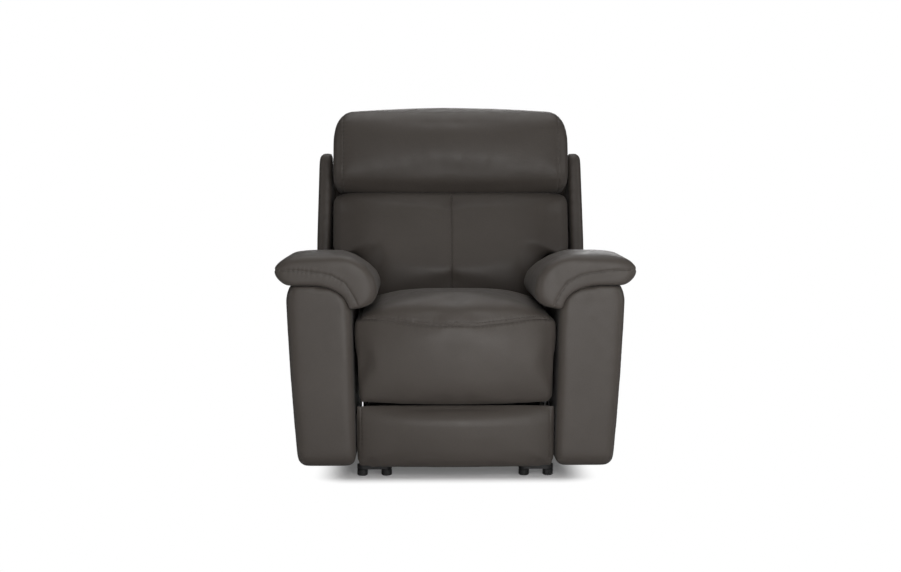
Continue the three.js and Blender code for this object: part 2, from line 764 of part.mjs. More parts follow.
// slotHalf is half the slot's height; slotWidth leaves room for the lever's uneven travel
function driveRod(pinForward, way, height, inside, eye, slotHalf, slotWidth) {
  const rear = pinForward - way * inside;
  const shoulder = pinForward - way * (slotWidth + rodRadius + eye);
  const [low, high] = [Math.min(rear, shoulder), Math.max(rear, shoulder)];
  const centre = new THREE.Vector2(pinForward, height);
  const top = centre.clone().add(new THREE.Vector2(0, slotHalf));
  const bottom = centre.clone().sub(new THREE.Vector2(0, slotHalf));
  const neck = new THREE.Vector2(shoulder, height);
  const tongue = stretched([[top, slotWidth + eye], [bottom, slotWidth + eye], [neck, rodRadius]]);
  return cut(
    joined(alongBar(rodRadius, low, high, height), sideSlab(tongue, rodTongue)),
    sideSlab(stretched([[top, slotWidth], [bottom, slotWidth]]), rodTongue + overrun),
  );
}

const leverSweep = -Math.PI / 2 - leverAngle; // half the lever's travel
const leverRise = leverRadius * (1 - Math.cos(leverSweep));
const reclineRise = reclineArm * (1 - Math.cos(reclineArmAngle));
const reclinePin = polar(reclineArm, -Math.PI / 2 - reclineArmAngle).add(hinge);
const reclineRodHeight = reclinePin.y - reclineRise / 2;

// Seat

function seatFrame() {
  const front = seatFrontForward - seatPanelThickness - gap;
  const bottom = seatLedgeHeight + gap;
  const ring = rectangle(-seatFrameHalf, seatFrameHalf, seatFrameRear, front);
  ring.holes.push(rectangle(-seatFrameHalf + seatFrameTube, seatFrameHalf - seatFrameTube,
    seatFrameRear + seatFrameTube, front - seatFrameTube));
  const geometry = new THREE.ExtrudeGeometry(ring, { depth: seatFrameTube, bevelEnabled: false });
  return turnedOut(skin(geometry).scale(1, -1, 1)).translate(0, 0, bottom);
}

const seatDeck = seatLedgeHeight + gap + seatFrameTube;
const firstRunShare = 0.5; // of the pitch, from the frame's front tube to the first run

// One zigzag spring wire laid across the frame from side to side
function seatSprings() {
  const front = seatFrontForward - seatPanelThickness - seatFrameTube;
  const rear = seatFrameRear + seatFrameTube;
  const pitch = (front - rear) / wireRuns;
  const reach = seatFrameHalf - wireInset - pitch / 2;
  const points = Array.from({ length: wireRuns }, (_, run) => {
    const way = run % 2 ? -1 : 1;
    const y = -front + pitch * (run + firstRunShare);
    const turn = run + 1 < wireRuns ? Array.from({ length: curveSteps * 2 - 1 }, (_, k) => {
      const angle = (Math.PI * (k + 1)) / (curveSteps * 2) - Math.PI / 2;
      return new THREE.Vector2(way * (reach + (pitch / 2) * Math.cos(angle)),
        y + (pitch / 2) * (1 + Math.sin(angle)));
    }) : [];
    return [...[-reach, 0, reach].map((x) => new THREE.Vector2(way * x, y)), ...turn];
  });
  return wire(points.flat(), wireRadius, seatDeck + gap + wireRadius);
}

// Mirrored lists from one side to the other, through the middle: of shares, and of stations
// that each start with a share
const bothWays = (shares) => [...shares.toReversed().filter((s) => s !== 0).map((s) => -s), ...shares];
const bothSides = (stations) =>
  [...stations.slice(1).toReversed().map(([share, ...rest]) => [-share, ...rest]), ...stations];

// How far the seat's front and the footrest fall back, at a share of their half width
const bowAt = (share) => seatBow * share ** 2;

// The seat cushion in side view, at a share of its half width
function seatSection(share) {
  const crown = 1 - Math.abs(share) ** 4;
  const side = 1 - Math.sqrt(1 - Math.min(Math.abs(share), 1) ** 12);
  const lift = (height) => seatEdgeHeight + (height - seatEdgeHeight) * crown;
  const bottom = seatDeck + 2 * gap + 2 * wireRadius;
  const nose = seatFrontForward - bowAt(share) - (side * seatPanelRound) / 2;
  const lip = seatPanelTop + gap;
  const noseHeight = Math.max(lift(seatCrownHeight) - lip, seatPanelRound) / 2;
  const back = seatFrontForward - seatPanelThickness - gap;
  const shape = new THREE.Shape();
  shape.moveTo(seatRearForward, bottom);
  shape.lineTo(back, bottom);
  shape.lineTo(back, lip);
  shape.lineTo(nose - seatPanelRound, lip);
  shape.absellipse(nose - seatPanelRound, lip + noseHeight, seatPanelRound, noseHeight, -Math.PI / 2, 0);
  shape.absellipse(nose - seatNoseDepth, lip + noseHeight, seatNoseDepth, noseHeight, 0, Math.PI / 2);
  const saddle = (lift(seatCrownHeight) + lift(seatMeetHeight)) / 2;
  shape.splineThru([
    [(nose + seatMeetForward) / 2, saddle + seatPanelRound * crown],
    [seatMeetForward, lift(seatMeetHeight)],
  ].map(([x, y]) => new THREE.Vector2(x, y)));
  shape.lineTo(seatMeetForward - seatPanelRound, seatRearHeight);
  shape.lineTo(seatRearForward, seatRearHeight);
  return ringOf(shape);
}

const seatWidthShares = [0, 0.3, 0.55, 0.75, 0.88, 0.96, 1];

function seatCushion() {
  return loft(bothWays(seatWidthShares).map((share) =>
    seatSection(share).map((p) => new THREE.Vector3(share * seatHalf, -p.x, p.y))), ["y", "z"]);
}

const panelWidthShares = [0, 0.25, 0.5, 0.75];
const panelEndShares = [0, 0.5, 0.85, 1]; // of the end round
const crownPower = 0.7; // 1 is an ellipse, less is squarer
const crownSteps = 5;
const crownTurns = Array.from({ length: 2 * crownSteps + 1 }, (_, i) =>
  (Math.PI / 2) * (i / crownSteps - 1));

// An upholstered panel from low to high, crowned and bowed in front; its half width depends on
// the height, and its lower corners are drawn up toward its ends
function bowedPanel(rear, foremost, low, high, halfAt, round) {
  const ends = panelEndShares.map((share) =>
    [1 - (round / halfAt(low)) * (1 - share), round * endRound(share)]);
  const stations = [...panelWidthShares.map((share) => [share, 0]), ...ends];
  return loft(bothSides(stations).map(([share, drawn]) => {
    const face = foremost - bowAt(share) - drawn / 2;
    const crown = Math.min(frontCrown, face - rear - gap);
    const [bottom, middle] = [low + drawn, (low + high) / 2];
    const front = crownTurns.map((turn) => {
      const rise = Math.sign(turn) * Math.abs(Math.sin(turn)) ** crownPower;
      const half = turn < 0 ? middle - bottom : high - middle;
      return [face - crown + crown * Math.cos(turn) ** crownPower, middle + half * rise];
    });
    return [[rear, bottom], ...front, [rear, high]]
      .map(([forward, height]) => new THREE.Vector3(share * halfAt(height), -forward, height));
  }), ["y", "z"]);
}

// The upholstered front of the seat, wider at the top as the arms draw apart
function seatFrontPanel() {
  const halfAt = (height) => THREE.MathUtils.mapLinear(height, seatPanelBottom, seatPanelTop,
    seatPanelHalfLow, seatPanelHalfHigh);
  return bowedPanel(seatFrontForward - seatPanelThickness, seatFrontForward, seatPanelBottom,
    seatPanelTop, halfAt, seatPanelRound);
}

// Arms

const armShare = (height) => (height - armBottomHeight) / (armTopHeight - armBottomHeight);
const armInnerAt = (height) => armInnerBottom + (armInnerTop - armInnerBottom) * armShare(height);
const armOuterAt = (height) => armOuterBottom + (armOuterTop - armOuterBottom) * armShare(height);

// The arm top's inner shoulder, from the flat top down to where the pad meets the seat
function shoulderPoints(offset) {
  const inner = armInnerAt(padSeatLine);
  return Array.from({ length: 2 * curveSteps + 1 }, (_, i) => {
    const angle = (Math.PI / 2) * (i / (2 * curveSteps));
    const rise = armShoulderDrop * Math.sin(angle);
    return [inner + armShoulderWidth * (1 - Math.cos(angle)), padSeatLine + offset + rise];
  });
}

// Side profile pulled out across X, then leaned so that the arm widens toward its top
function armBlock() {
  const top = armTopHeight + armEdgeRound;
  const side = new THREE.Shape();
  side.moveTo(armRearForward, armBottomHeight);
  side.lineTo(armFrontForward - armToeRound, armBottomHeight);
  side.absarc(armFrontForward - armToeRound, armBottomHeight + armToeRound, armToeRound, -Math.PI / 2, 0);
  side.lineTo(armFrontForward, top);
  side.lineTo(armRearTopForward, top);
  side.lineTo(armRearForward, armRearKneeHeight);
  const width = armOuterTop - armInnerTop;
  const block = sideSlab(side, width, width / 2, armEdgeRound);
  const place = block.attributes.position;
  for (let i = 0; i < place.count; i += 1) {
    const [inner, outer] = [armInnerAt(place.getZ(i)), armOuterAt(place.getZ(i))];
    place.setX(i, inner + ((outer - inner) * place.getX(i)) / width);
  }
  return block;
}

function arm() {
  const above = armTopHeight + armEdgeRound + overrun;
  const past = armInnerBottom - overrun;
  const beyond = armOuterTop + armEdgeRound;
  const padSeat = outline([
    [past, padSeatLine], ...shoulderPoints(0), [beyond, armTopHeight], [beyond, above], [past, above],
  ]);
  return cut(armBlock(), frontSlab(padSeat, armRearTopForward - overrun, armFrontForward + overrun));
}

// The pad's section: it wraps over the arm's shoulder and bulges in over the seat.
// inset rounds its ends; bay runs from 0 to 1 as the bulge gives way to the back cushion; drop
// is how far its top has fallen from the crest
function padSection(inset, bay, drop) {
  const inner = THREE.MathUtils.lerp(padInner + inset, padBayInner, bay);
  const outer = padOuter - inset;
  const top = padTopHeight - inset - drop;
  const low = armTopHeight + gap;
  const bulge = padBulgeHeight;
  const underReach = padUnderReach * (1 - bay) + gap;
  const shape = new THREE.Shape();
  const shoulder = shoulderPoints(gap);
  shape.moveTo(...shoulder[0]);
  shoulder.slice(1).forEach(([x, y]) => shape.lineTo(x, y));
  shape.lineTo(outer - padTipReach, low);
  shape.absellipse(outer - padTipReach, padTipHeight, padTipReach, padTipHeight - low, -Math.PI / 2, 0);
  shape.absellipse(outer - padTipReach, padTipHeight, padTipReach, top - padTipHeight, 0, Math.PI / 2);
  shape.lineTo(padCrestInner, top);
  shape.absellipse(padCrestInner, bulge, padCrestInner - inner, top - bulge, Math.PI / 2, Math.PI);
  shape.absellipse(inner + underReach, bulge, underReach, bulge - padUnderHeight, Math.PI, Math.PI * 1.5);
  return ringOf(shape);
}

const endRound = (share) => 1 - Math.sqrt(1 - share ** 2);
const padRoundShares = [1, 0.92, 0.7, 0.38, 0];
const padBayShares = [0, 0.5, 1];
const padLengthShares = [0, 0.33, 0.67]; // of the way from the crest to the bay

function armPad() {
  const front = padRoundShares.map((share) =>
    [padFrontForward - padFrontRound * (1 - share), padFrontRound * endRound(share), 0]);
  const middle = padBayShares.map((bay) => [THREE.MathUtils.lerp(padBayStart, padBayEnd, bay), 0, bay]);
  const rear = padRoundShares.toReversed().map((share) =>
    [padRearForward + padRearRound * (1 - share), padRearRound * endRound(share), 1]);
  const crown = padLengthShares.map((share) =>
    [THREE.MathUtils.lerp(padCrestForward, padBayStart, share), 0, 0]);
  const fallen = (forward) =>
    padFall * THREE.MathUtils.smoothstep(padCrestForward - forward, 0, padCrestForward - padRearForward);
  return loft([...front, ...crown, ...middle, ...rear].map(([forward, inset, bay]) =>
    padSection(inset, bay, fallen(forward)).map((p) => new THREE.Vector3(p.x, -forward, p.y))),
  ["x", "z"]);
}

// Switch panel: drawn with its outer face in the plane x = 0 and outward along -X

const armLean = Math.atan((armOuterTop - armOuterBottom) / (armTopHeight - armBottomHeight));
const switches = new THREE.Group();
switches.position.set(-armOuterAt(panelHeight), -panelForward, panelHeight);
switches.rotation.y = -armLean;
switches.updateMatrix();
chair.add(switches);

const panelShape = (grow) => roundedRectangle(-panelLength / 2 - grow, panelLength / 2 + grow,
  -panelWidth / 2 - grow, panelWidth / 2 + grow, panelRound + grow);
const buttonForward = (index) => (index - (buttonCount - 1) / 2) * buttonPitch;
const buttonShape = (index, grow) => rectangle(buttonForward(index) - buttonHalf - grow,
  buttonForward(index) + buttonHalf + grow, -buttonHalf - grow, buttonHalf + grow);

function panelRecess() {
  const floor = panelPlate - panelProud + gap;
  const deep = panelPocketDepth;
  return [
    sideSlab(panelShape(gap), floor + overrun, (floor - overrun) / 2),
    sideSlab(panelShape(-panelLedge), deep + overrun, (deep - overrun) / 2),
  ].map((geometry) => geometry.applyMatrix4(switches.matrix));
}

function switchPanel() {
  const middle = panelPlate / 2 - panelProud;
  const holes = Array.from({ length: buttonCount }, (_, index) =>
    sideSlab(buttonShape(index, runningGap), panelPlate + overrun, middle));
  return cut(sideSlab(panelShape(0), panelPlate, middle), ...holes);
}

// A cap that passes the panel, with a collar behind it
function button(index) {
  const outer = -panelProud - buttonProud;
  const collarFace = panelPlate - panelProud + gap;
  return joined(
    sideSlab(buttonShape(index, 0), buttonLength, outer + buttonLength / 2),
    sideSlab(buttonShape(index, buttonCollar), buttonCollar, collarFace + buttonCollar / 2),
  );
}

// Back, in its own frame

const backOrigin = new THREE.Vector2(0, 0);
const reclinePinInBack = polar(reclineArm, -Math.PI / 2 - reclineArmAngle - backTilt);

function backBracket() {
  const along = -(backFrameFront + gap + bracketEnd);
  const upper = new THREE.Vector2(along, bracketUpperHeight);
  const bend = new THREE.Vector2(along, backCushionBottom - 2 * bracketEnd);
  const tubeHole = crossBar(reclineTubeRadius + gap, crankLayer - plate, crankLayer + plate,
    reclinePinInBack, 2 * roundSteps);
  return linkPlate(
    [strap(backOrigin, bend, bracketHub, bracketEnd), strap(bend, upper, bracketEnd),
      strap(backOrigin, reclinePinInBack, bracketEnd, bracketEnd + gap)],
    crankLayer, [], [pinHole(backOrigin, crankLayer, hingePinRadius), tubeHole]);
}

function reclineTube() {
  const reach = crankLayer + plate / 2 + headHeight;
  return crossBar(reclineTubeRadius, -reach, reach, reclinePinInBack, 2 * roundSteps);
}

function backFrame() {
  const shape = rectangle(-backFrameOuter, backFrameOuter, backFrameBottom, backFrameTop);
  const inner = backFrameOuter - backFrameMember;
  const window = (low, high) => rectangle(-inner, inner, low, high);
  shape.holes.push(window(backFrameBottom + backFrameMember, backFrameMiddle - backFrameMember / 2));
  shape.holes.push(window(backFrameMiddle + backFrameMember / 2, backFrameTop - 2 * backFrameMember));
  return frontSlab(shape, gap - shellPanelFront, -backFrameFront);
}

// Rear panel and two ears in one skin: the plan, the side view and the front view in common
function backShell() {
  const plan = new THREE.Shape();
  const quarter = (x, y, radius, from) => plan.absarc(x, y, radius, from, from - Math.PI / 2, true);
  const [wide, rear] = [shellHalf - shellRound, shellPanelRear - shellRound];
  const [ear, earNose] = [earInner + earInnerRound, earFront + earInnerRound];
  plan.moveTo(-shellHalf, rear);
  quarter(-wide, rear, shellRound, Math.PI);
  quarter(wide, rear, shellRound, Math.PI / 2);
  quarter(wide, earFront + shellRound, shellRound, 0);
  quarter(ear, earNose, earInnerRound, -Math.PI / 2);
  plan.lineTo(earInner, shellPanelFront);
  plan.lineTo(-earInner, shellPanelFront);
  quarter(-ear, earNose, earInnerRound, 0);
  quarter(-wide, earFront + shellRound, shellRound, -Math.PI / 2);
  const upright = new THREE.ExtrudeGeometry(plan, {
    depth: shellTop - shellBottom, bevelEnabled: false, curveSegments: curveSteps,
  }).translate(0, 0, shellBottom);
  const side = new THREE.Shape();
  side.moveTo(-shellPanelRear, shellBottom);
  side.lineTo(-earFrontLow, shellBottom);
  side.lineTo(-earFront, 0);
  side.absarc(-earFront - shellTopRound, shellTop - shellTopRound, shellTopRound, 0, Math.PI / 2);
  side.absarc(shellTopRound - shellPanelRear, shellTop - shellTopRound, shellTopRound, Math.PI / 2, Math.PI);
  const face = roundedRectangle(-shellHalf, shellHalf, shellBottom, shellTop, shellRound);
  return common(common(upright, sideSlab(side, 2 * (shellHalf + overrun))),
    frontSlab(face, -shellPanelRear - overrun, -earFront + overrun));
}

// The way into an end's round edge, and how far the sides and the face are drawn in there
const backEdgeShares = [[0, 1], [0.3, 0.3], [1, 0]];
const lumbarShare = 0.42; // of the way from the bottom to the shoulder
const ribShare = 0.75;
const ribDroopShare = 0.6; // of the shoulders' droop
const shoulderLipShare = 0.1; // of the lip's round
const chestShare = 0.6; // of the way from the shoulder to the top
const backDroopSlope = Math.tan(backTilt);
const backDroop = backDroopSlope * (backFrameFront - backFrontLow); // at the face

// Height, half width, front face and droop of the back cushion, from its bottom to its top.
// Its shoulders droop forward, so that their lower edge lies level over the arm pads
function backLevels() {
  const { lerp, smoothstep } = THREE.MathUtils;
  const [edge, lip] = [backEdgeRound, backLipRound];
  const rib = lerp(backCushionBottom, backShoulderHeight, ribShare);
  const lumbar = lerp(backCushionBottom, backShoulderHeight, lumbarShare);
  const chest = lerp(backShoulderHeight, backCushionTop, chestShare);
  const level = (height, half, droop) => {
    const climb = smoothstep(height - droop * backDroop, lumbar, chest);
    return [height, half, lerp(backFrontLumbar, backFrontHigh, climb), droop];
  };
  return [
    ...backEdgeShares.map(([way, drawn]) =>
      [backCushionBottom + edge * way, backNarrowHalf - edge * drawn, backFrontLow + edge * drawn, 0]),
    level(lumbar, backNarrowHalf, 0),
    level(rib, backNarrowHalf, ribDroopShare),
    level(backShoulderHeight - edge, backNarrowHalf + shoulderSpread / 2, 1),
    level(backShoulderHeight, backNarrowHalf + shoulderSpread, 1),
    level(backShoulderHeight + lip * shoulderLipShare, backWideHalf - lip, 1),
    level(backShoulderHeight + lip, backWideHalf, 1),
    level(chest, backWideHalf, 0),
    ...backEdgeShares.toReversed().map(([way, drawn]) =>
      [backCushionTop - edge * way, backWideHalf - edge * drawn, backFrontHigh + edge * drawn, 0]),
  ];
}

const backWidthShares = [0, 0.06, 0.3, 0.6, 0.82, 0.94, 1];

// A ring of the back cushion at one height: crowned in front, with a seam down the middle
function backCushion() {
  const rear = backFrameFront - gap;
  return loft(backLevels().map(([height, half, front, droop]) => {
    const at = (x, y) => new THREE.Vector3(x, y, height - droop * backDroopSlope * (rear - y));
    const face = bothWays(backWidthShares).map((share) => {
      const side = backSideRound * (1 - Math.sqrt(1 - Math.abs(share) ** 6));
      const seam = backSeamDepth * Math.exp(-((share * half) ** 2) / backSeamHalf ** 2);
      return at(share * half, front + side + seam);
    });
    return [...face, at(half, rear), at(-half, rear)];
  }), ["x", "y"]);
}

// Headrest section in side view; its lower corners are round about the pivot, so it turns
// without meeting the back cushion or the frame
function headSection() {
  const shape = new THREE.Shape();
  const rearTurn = Math.PI + Math.asin(headFrontRadius / headRearRadius);
  const rear = headPivot.x - headRearRadius;
  const front = headPivot.x + headFrontRadius;
  shape.moveTo(front, headPivot.y);
  shape.absarc(headPivot.x, headPivot.y, headFrontRadius, 0, -Math.PI / 2, true);
  shape.absarc(headPivot.x, headPivot.y, headRearRadius, rearTurn, Math.PI, true);
  shape.absellipse(rear + headCrownDepth, headTop - headCrownDepth, headCrownDepth, headCrownDepth,
    Math.PI, Math.PI / 2, true);
  shape.absellipse(front - headFrontCrown, headTop - headFrontCrown, headFrontCrown, headFrontCrown,
    Math.PI / 2, 0, true);
  return ringOf(shape);
}

const headWidthShares = [0, 0.35, 0.65];
const headEndShares = [0, 0.45, 0.75, 0.92, 1]; // of the end round
const pocketShares = [0, 0.5, 1]; // of the headrest's travel

function headrestCushion() {
  const ends = headEndShares.map((share) => [1 - (headEndRound / headHalf) * (1 - share),
    1 - (headEndShrink / headFrontRadius) * endRound(share)]);
  const stations = [...headWidthShares.map((share) => [share, 1]), ...ends];
  const body = loft(bothSides(stations).map(([share, drawn]) => headSection().map((p) => {
    const size = drawn - (headArch / headRise) * share ** 2;
    const point = p.clone().sub(headPivot).multiplyScalar(size).add(headPivot);
    return new THREE.Vector3(share * headHalf, -point.x, point.y);
  })), ["y", "z"]);
  const pocket = (side) => sideSlab(stretched([
    [headPivot, headArmEye + runningGap * 2],
    ...pocketShares.map((share) => [headArmTip.clone().rotateAround(headPivot,
      (headTravel + pocketMargin) * share), headArmEnd + runningGap * 2]),
  ]), 2 * headPocketHalf, side * headArmAt);
  const reach = headTubeReach + gap;
  const bore = crossBar(headTubeRadius + gap, -reach, reach, headPivot, 2 * roundSteps);
  return cut(body, pocket(-1), pocket(1), bore);
}

const headTubeReach = headArmAt + headPocketHalf + headTubeRadius;
const headArmTip = new THREE.Vector2(headArmEnd + gap - backFrameFront, headPivot.y - headArmDrop);

function headArm() {
  const foot = backFrameFront - gap;
  const half = headArmFlange / 2;
  const blank = joined(
    sideSlab(strap(headPivot, headArmTip, headArmEye, headArmEnd), headArmPlate),
    box(-half, half, foot - headArmPlate, foot, headArmTip.y - headArmEye, headArmTip.y + headArmEye),
  );
  const eye = crossBar(headTubeRadius + runningGap, -headArmPlate, headArmPlate, headPivot, 2 * roundSteps);
  return cut(blank, eye);
}

function powerInlet() {
  const low = footPlateTop + railWall;
  const front = -railRearForward + gap;
  const mouth = -front - inletDepth;
  const body = box(railOuter - inletWidth, railOuter, front, front + inletDepth, low, low + inletHeight);
  const socket = alongBar(inletBore, mouth - overrun, mouth + inletBoreDepth, low + inletHeight / 2);
  return cut(body, socket.translate(railOuter - inletWidth / 2, 0, 0));
}

// The chair, put together

const glidePlaces = [["inner", footPlateInner + glideRadius], ["outer", footPlateOuter - glideRadius]];

for (const [side, word] of [[-1, "left"], [1, "right"]]) {
  const handed = (geometry) => (side > 0 ? geometry : mirrored(geometry));
  const onSide = (name, geometry, material, group) =>
    piece(`${name}_${word}`, handed(geometry), material, group);
  for (const [end, forward] of [["front", footFrontForward], ["rear", footRearForward]]) {
    onSide(`foot_plate_${end}`, footPlate(forward), blackSteel());
    for (const [place, x] of glidePlaces) {
      onSide(`glide_${end}_${place}`, glide().translate(x, -forward, 0), blackPlastic());
    }
  }
  onSide("rail", rail(), blackSteel());
  onSide("side_plate", sidePlate(), blackSteel());
  onSide("front_crank", frontCrank(), zincSteel());
  onSide("rear_crank", rearCrank(), zincSteel());
  onSide("lower_bar", lowerBar(), zincSteel());
  onSide("upper_bar", upperBar(), zincSteel());
  onSide("footrest_bracket", footrestBracket(), zincSteel());
  onSide("back_bracket", backBracket(), blackSteel(), back);
  onSide("headrest_arm", headArm().translate(headArmAt, 0, 0), zincSteel(), back);
  onSide("arm_pad", armPad(), leather());
}

piece("arm_left", cut(mirrored(arm()), ...panelRecess()), leather());
piece("arm_right", arm(), leather());
piece("drive_tube", driveTube(), blackSteel());
piece("recline_cross_tube", hollowTube(sidePlateMiddle - plate / 2 - gap,
  new THREE.Vector2(reclineTubeForward, reclineRodHeight)), blackSteel());
piece("footrest_cross_tube", hollowTube(sidePlateMiddle - plate / 2 - gap,
  new THREE.Vector2(footrestTubeForward, footrestRodHeight)), blackSteel());
piece("footrest_drive", driveHousing(footrestTubeForward + crossTube / 2 + gap, footrestHousingFront,
  footrestRodHeight), blackPlastic());
piece("footrest_rod", driveRod(leverPin.x, 1, footrestRodHeight, rodInside, leverEnd - pinRadius,
  leverRise / 2 + runningGap, pinRadius + leverUneven), zincSteel());
piece("recline_drive", driveHousing(reclineTubeForward - crossTube / 2 - gap, reclineHousingRear,
  reclineRodHeight), blackPlastic());
piece("recline_rod", driveRod(reclinePin.x, -1, reclineRodHeight, reclineRodInside, leverEnd - pinRadius,
  reclineRise / 2 + runningGap, reclineTubeRadius + 2 * runningGap), zincSteel());
piece("footrest_board", footrestBoardPanel(), board());
piece("footrest_pad", footrestPad(), leather());
piece("seat_frame", seatFrame(), blackSteel());
piece("seat_springs", seatSprings(), zincSteel());
piece("seat_front_panel", seatFrontPanel(), leather());
piece("seat_cushion", seatCushion(), leather());
piece("recline_tube", reclineTube(), blackSteel(), back);
piece("back_frame", backFrame(), blackSteel(), back);
piece("back_shell", backShell(), leather(), back);
piece("back_cushion", backCushion(), leather(), back);
piece("headrest_tube", crossBar(headTubeRadius, -headTubeReach, headTubeReach, headPivot, 2 * roundSteps),
  zincSteel(), back);
piece("headrest_cushion", headrestCushion(), leather(), back);
piece("switch_panel", switchPanel(), blackPlastic(), switches);
for (let index = 0; index < buttonCount; index += 1) {
  piece(`button_${index + 1}`, button(index), zincSteel(), switches);
}
piece("power_inlet", powerInlet(), blackPlastic());

export default chair;
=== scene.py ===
import math

import bpy
from mathutils import Matrix, Vector
from mathutils.bvhtree import BVHTree
from mathutils.kdtree import KDTree


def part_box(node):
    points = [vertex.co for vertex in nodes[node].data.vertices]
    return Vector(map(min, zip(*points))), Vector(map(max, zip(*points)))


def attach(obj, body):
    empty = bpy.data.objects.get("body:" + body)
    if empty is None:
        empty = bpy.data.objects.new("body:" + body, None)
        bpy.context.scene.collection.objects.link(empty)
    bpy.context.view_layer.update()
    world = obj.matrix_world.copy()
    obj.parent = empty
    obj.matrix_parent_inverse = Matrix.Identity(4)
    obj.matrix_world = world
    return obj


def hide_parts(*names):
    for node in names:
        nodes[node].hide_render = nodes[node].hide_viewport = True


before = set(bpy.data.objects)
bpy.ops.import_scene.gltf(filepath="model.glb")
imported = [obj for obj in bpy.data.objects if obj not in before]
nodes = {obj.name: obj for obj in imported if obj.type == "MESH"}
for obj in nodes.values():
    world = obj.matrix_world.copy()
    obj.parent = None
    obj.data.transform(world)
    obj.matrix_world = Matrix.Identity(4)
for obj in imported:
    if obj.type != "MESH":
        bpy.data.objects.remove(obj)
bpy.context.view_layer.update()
scene = bpy.context.scene

# The studio: a pale floor that runs out of sight into a white backdrop, with the chair's own
# soft shadow kept on it, under soft lights in front and above and weaker ones round about.
bpy.ops.object.select_all(action="DESELECT")
bpy.ops.mesh.primitive_plane_add(size=30, location=(0, 0, 0))
floor = bpy.context.object
floor.name = "studio_floor"
pale = bpy.data.materials.new("pale_floor")
pale.use_nodes = True
tree = pale.node_tree
tree.nodes.clear()


def floor_node(kind, **values):
    """A node of the floor's material, its sockets and settings given by name."""
    node = tree.nodes.new(kind)
    for key, value in values.items():
        if key in node.inputs:
            node.inputs[key].default_value = value
        else:
            setattr(node, key, value)
    return node


lit = floor_node("ShaderNodeBsdfDiffuse", Color=(0.60, 0.60, 0.60, 1))
shown = floor_node("ShaderNodeBsdfDiffuse", Color=(0.80, 0.79, 0.79, 1))
lift = floor_node("ShaderNodeEmission", Color=(1, 1, 1, 1), Strength=0.12)
white = floor_node("ShaderNodeEmission", Color=(1, 1, 1, 1), Strength=1.0)
near = floor_node("ShaderNodeAddShader")
spot = floor_node("ShaderNodeTexCoord")
quarter = floor_node("ShaderNodeVectorMath", operation="ABSOLUTE")
chair_half = (0.29, 0.41, 0)
beyond = floor_node("ShaderNodeVectorMath", operation="SUBTRACT")
beyond.inputs[1].default_value = chair_half
outside = floor_node("ShaderNodeVectorMath", operation="MAXIMUM")
reach = floor_node("ShaderNodeVectorMath", operation="LENGTH")
edge = floor_node("ShaderNodeMapRange", interpolation_type="SMOOTHSTEP")
edge.inputs["From Min"].default_value = 0.01
edge.inputs["From Max"].default_value = 0.12
fade = floor_node("ShaderNodeMixShader")
rays = floor_node("ShaderNodeLightPath")
choice = floor_node("ShaderNodeMixShader")
out = floor_node("ShaderNodeOutputMaterial")
for start, end in (
    (spot.outputs["Object"], quarter.inputs[0]), (quarter.outputs[0], beyond.inputs[0]),
    (beyond.outputs[0], outside.inputs[0]), (outside.outputs[0], reach.inputs[0]),
    (reach.outputs["Value"], edge.inputs["Value"]),
    (shown.outputs[0], near.inputs[0]), (lift.outputs[0], near.inputs[1]),
    (edge.outputs["Result"], fade.inputs[0]), (near.outputs[0], fade.inputs[1]),
    (white.outputs[0], fade.inputs[2]), (rays.outputs["Is Camera Ray"], choice.inputs[0]),
    (lit.outputs[0], choice.inputs[1]), (fade.outputs[0], choice.inputs[2]),
    (choice.outputs[0], out.inputs["Surface"]),
):
    tree.links.new(start, end)
floor.data.materials.append(pale)

world = bpy.data.worlds.new("studio_air")
scene.world = world
world.use_nodes = True
air = world.node_tree
air.nodes.clear()
dome = air.nodes.new("ShaderNodeBackground")
dome.inputs["Strength"].default_value = 0.03
backdrop = air.nodes.new("ShaderNodeBackground")
backdrop.inputs["Strength"].default_value = 1.0
for glow in (dome, backdrop):
    glow.inputs["Color"].default_value = (1, 1, 1, 1)
sight = air.nodes.new("ShaderNodeLightPath")
pick = air.nodes.new("ShaderNodeMixShader")
sky = air.nodes.new("ShaderNodeOutputWorld")
air.links.new(sight.outputs["Is Camera Ray"], pick.inputs[0])
air.links.new(dome.outputs[0], pick.inputs[1])
air.links.new(backdrop.outputs[0], pick.inputs[2])
air.links.new(pick.outputs[0], sky.inputs["Surface"])

for lamp_name, place, aim, size, power in (
    ("key_softbox", (0.3, -2.5, 0.80), (0, 0, 0.3), 1.8, 31),
    ("top_softbox", (0, -0.7, 3.2), (0, -0.2, 0.3), 2.6, 8),
    ("hair_softbox", (0, 0.6, 3.0), (0, -0.2, 0.3), 2.4, 23),
    ("left_fill", (-3.4, -1.2, 1.3), (0, 0, 0.5), 1.8, 12),
    ("right_fill", (3.4, -1.2, 1.3), (0, 0, 0.5), 1.8, 20),
    ("rear_fill", (0.4, 3.8, 2.0), (0, 0, 0.6), 2.2, 45),
):
    bpy.ops.object.light_add(type="AREA", location=place)
    lamp = bpy.context.object
    lamp.name = lamp_name
    lamp.data.shape = "DISK"
    lamp.data.size = size
    lamp.data.energy = power
    lamp.rotation_euler = (Vector(aim) - Vector(place)).to_track_quat("-Z", "Y").to_euler()

# The camera stands five metres in front, a little to the left, nearly as high as the back shell,
# and looks slightly down.
eye = (-0.107, -4.942, 0.876)
look_down, look_aside = 0.0728, math.radians(-1.175)
bpy.ops.object.camera_add(location=eye, rotation=(math.pi / 2 - look_down, 0, look_aside))
scene.camera = bpy.context.object
scene.camera.data.sensor_width = 36
scene.camera.data.lens = 64.05
scene.view_settings.view_transform = "Standard"

# Glides: turned nylon buttons, black right through, pushed on the feet's studs. They are scuffed
# matt where they slide.
SIDES = ("left", "right")
ENDS = ("front", "rear")


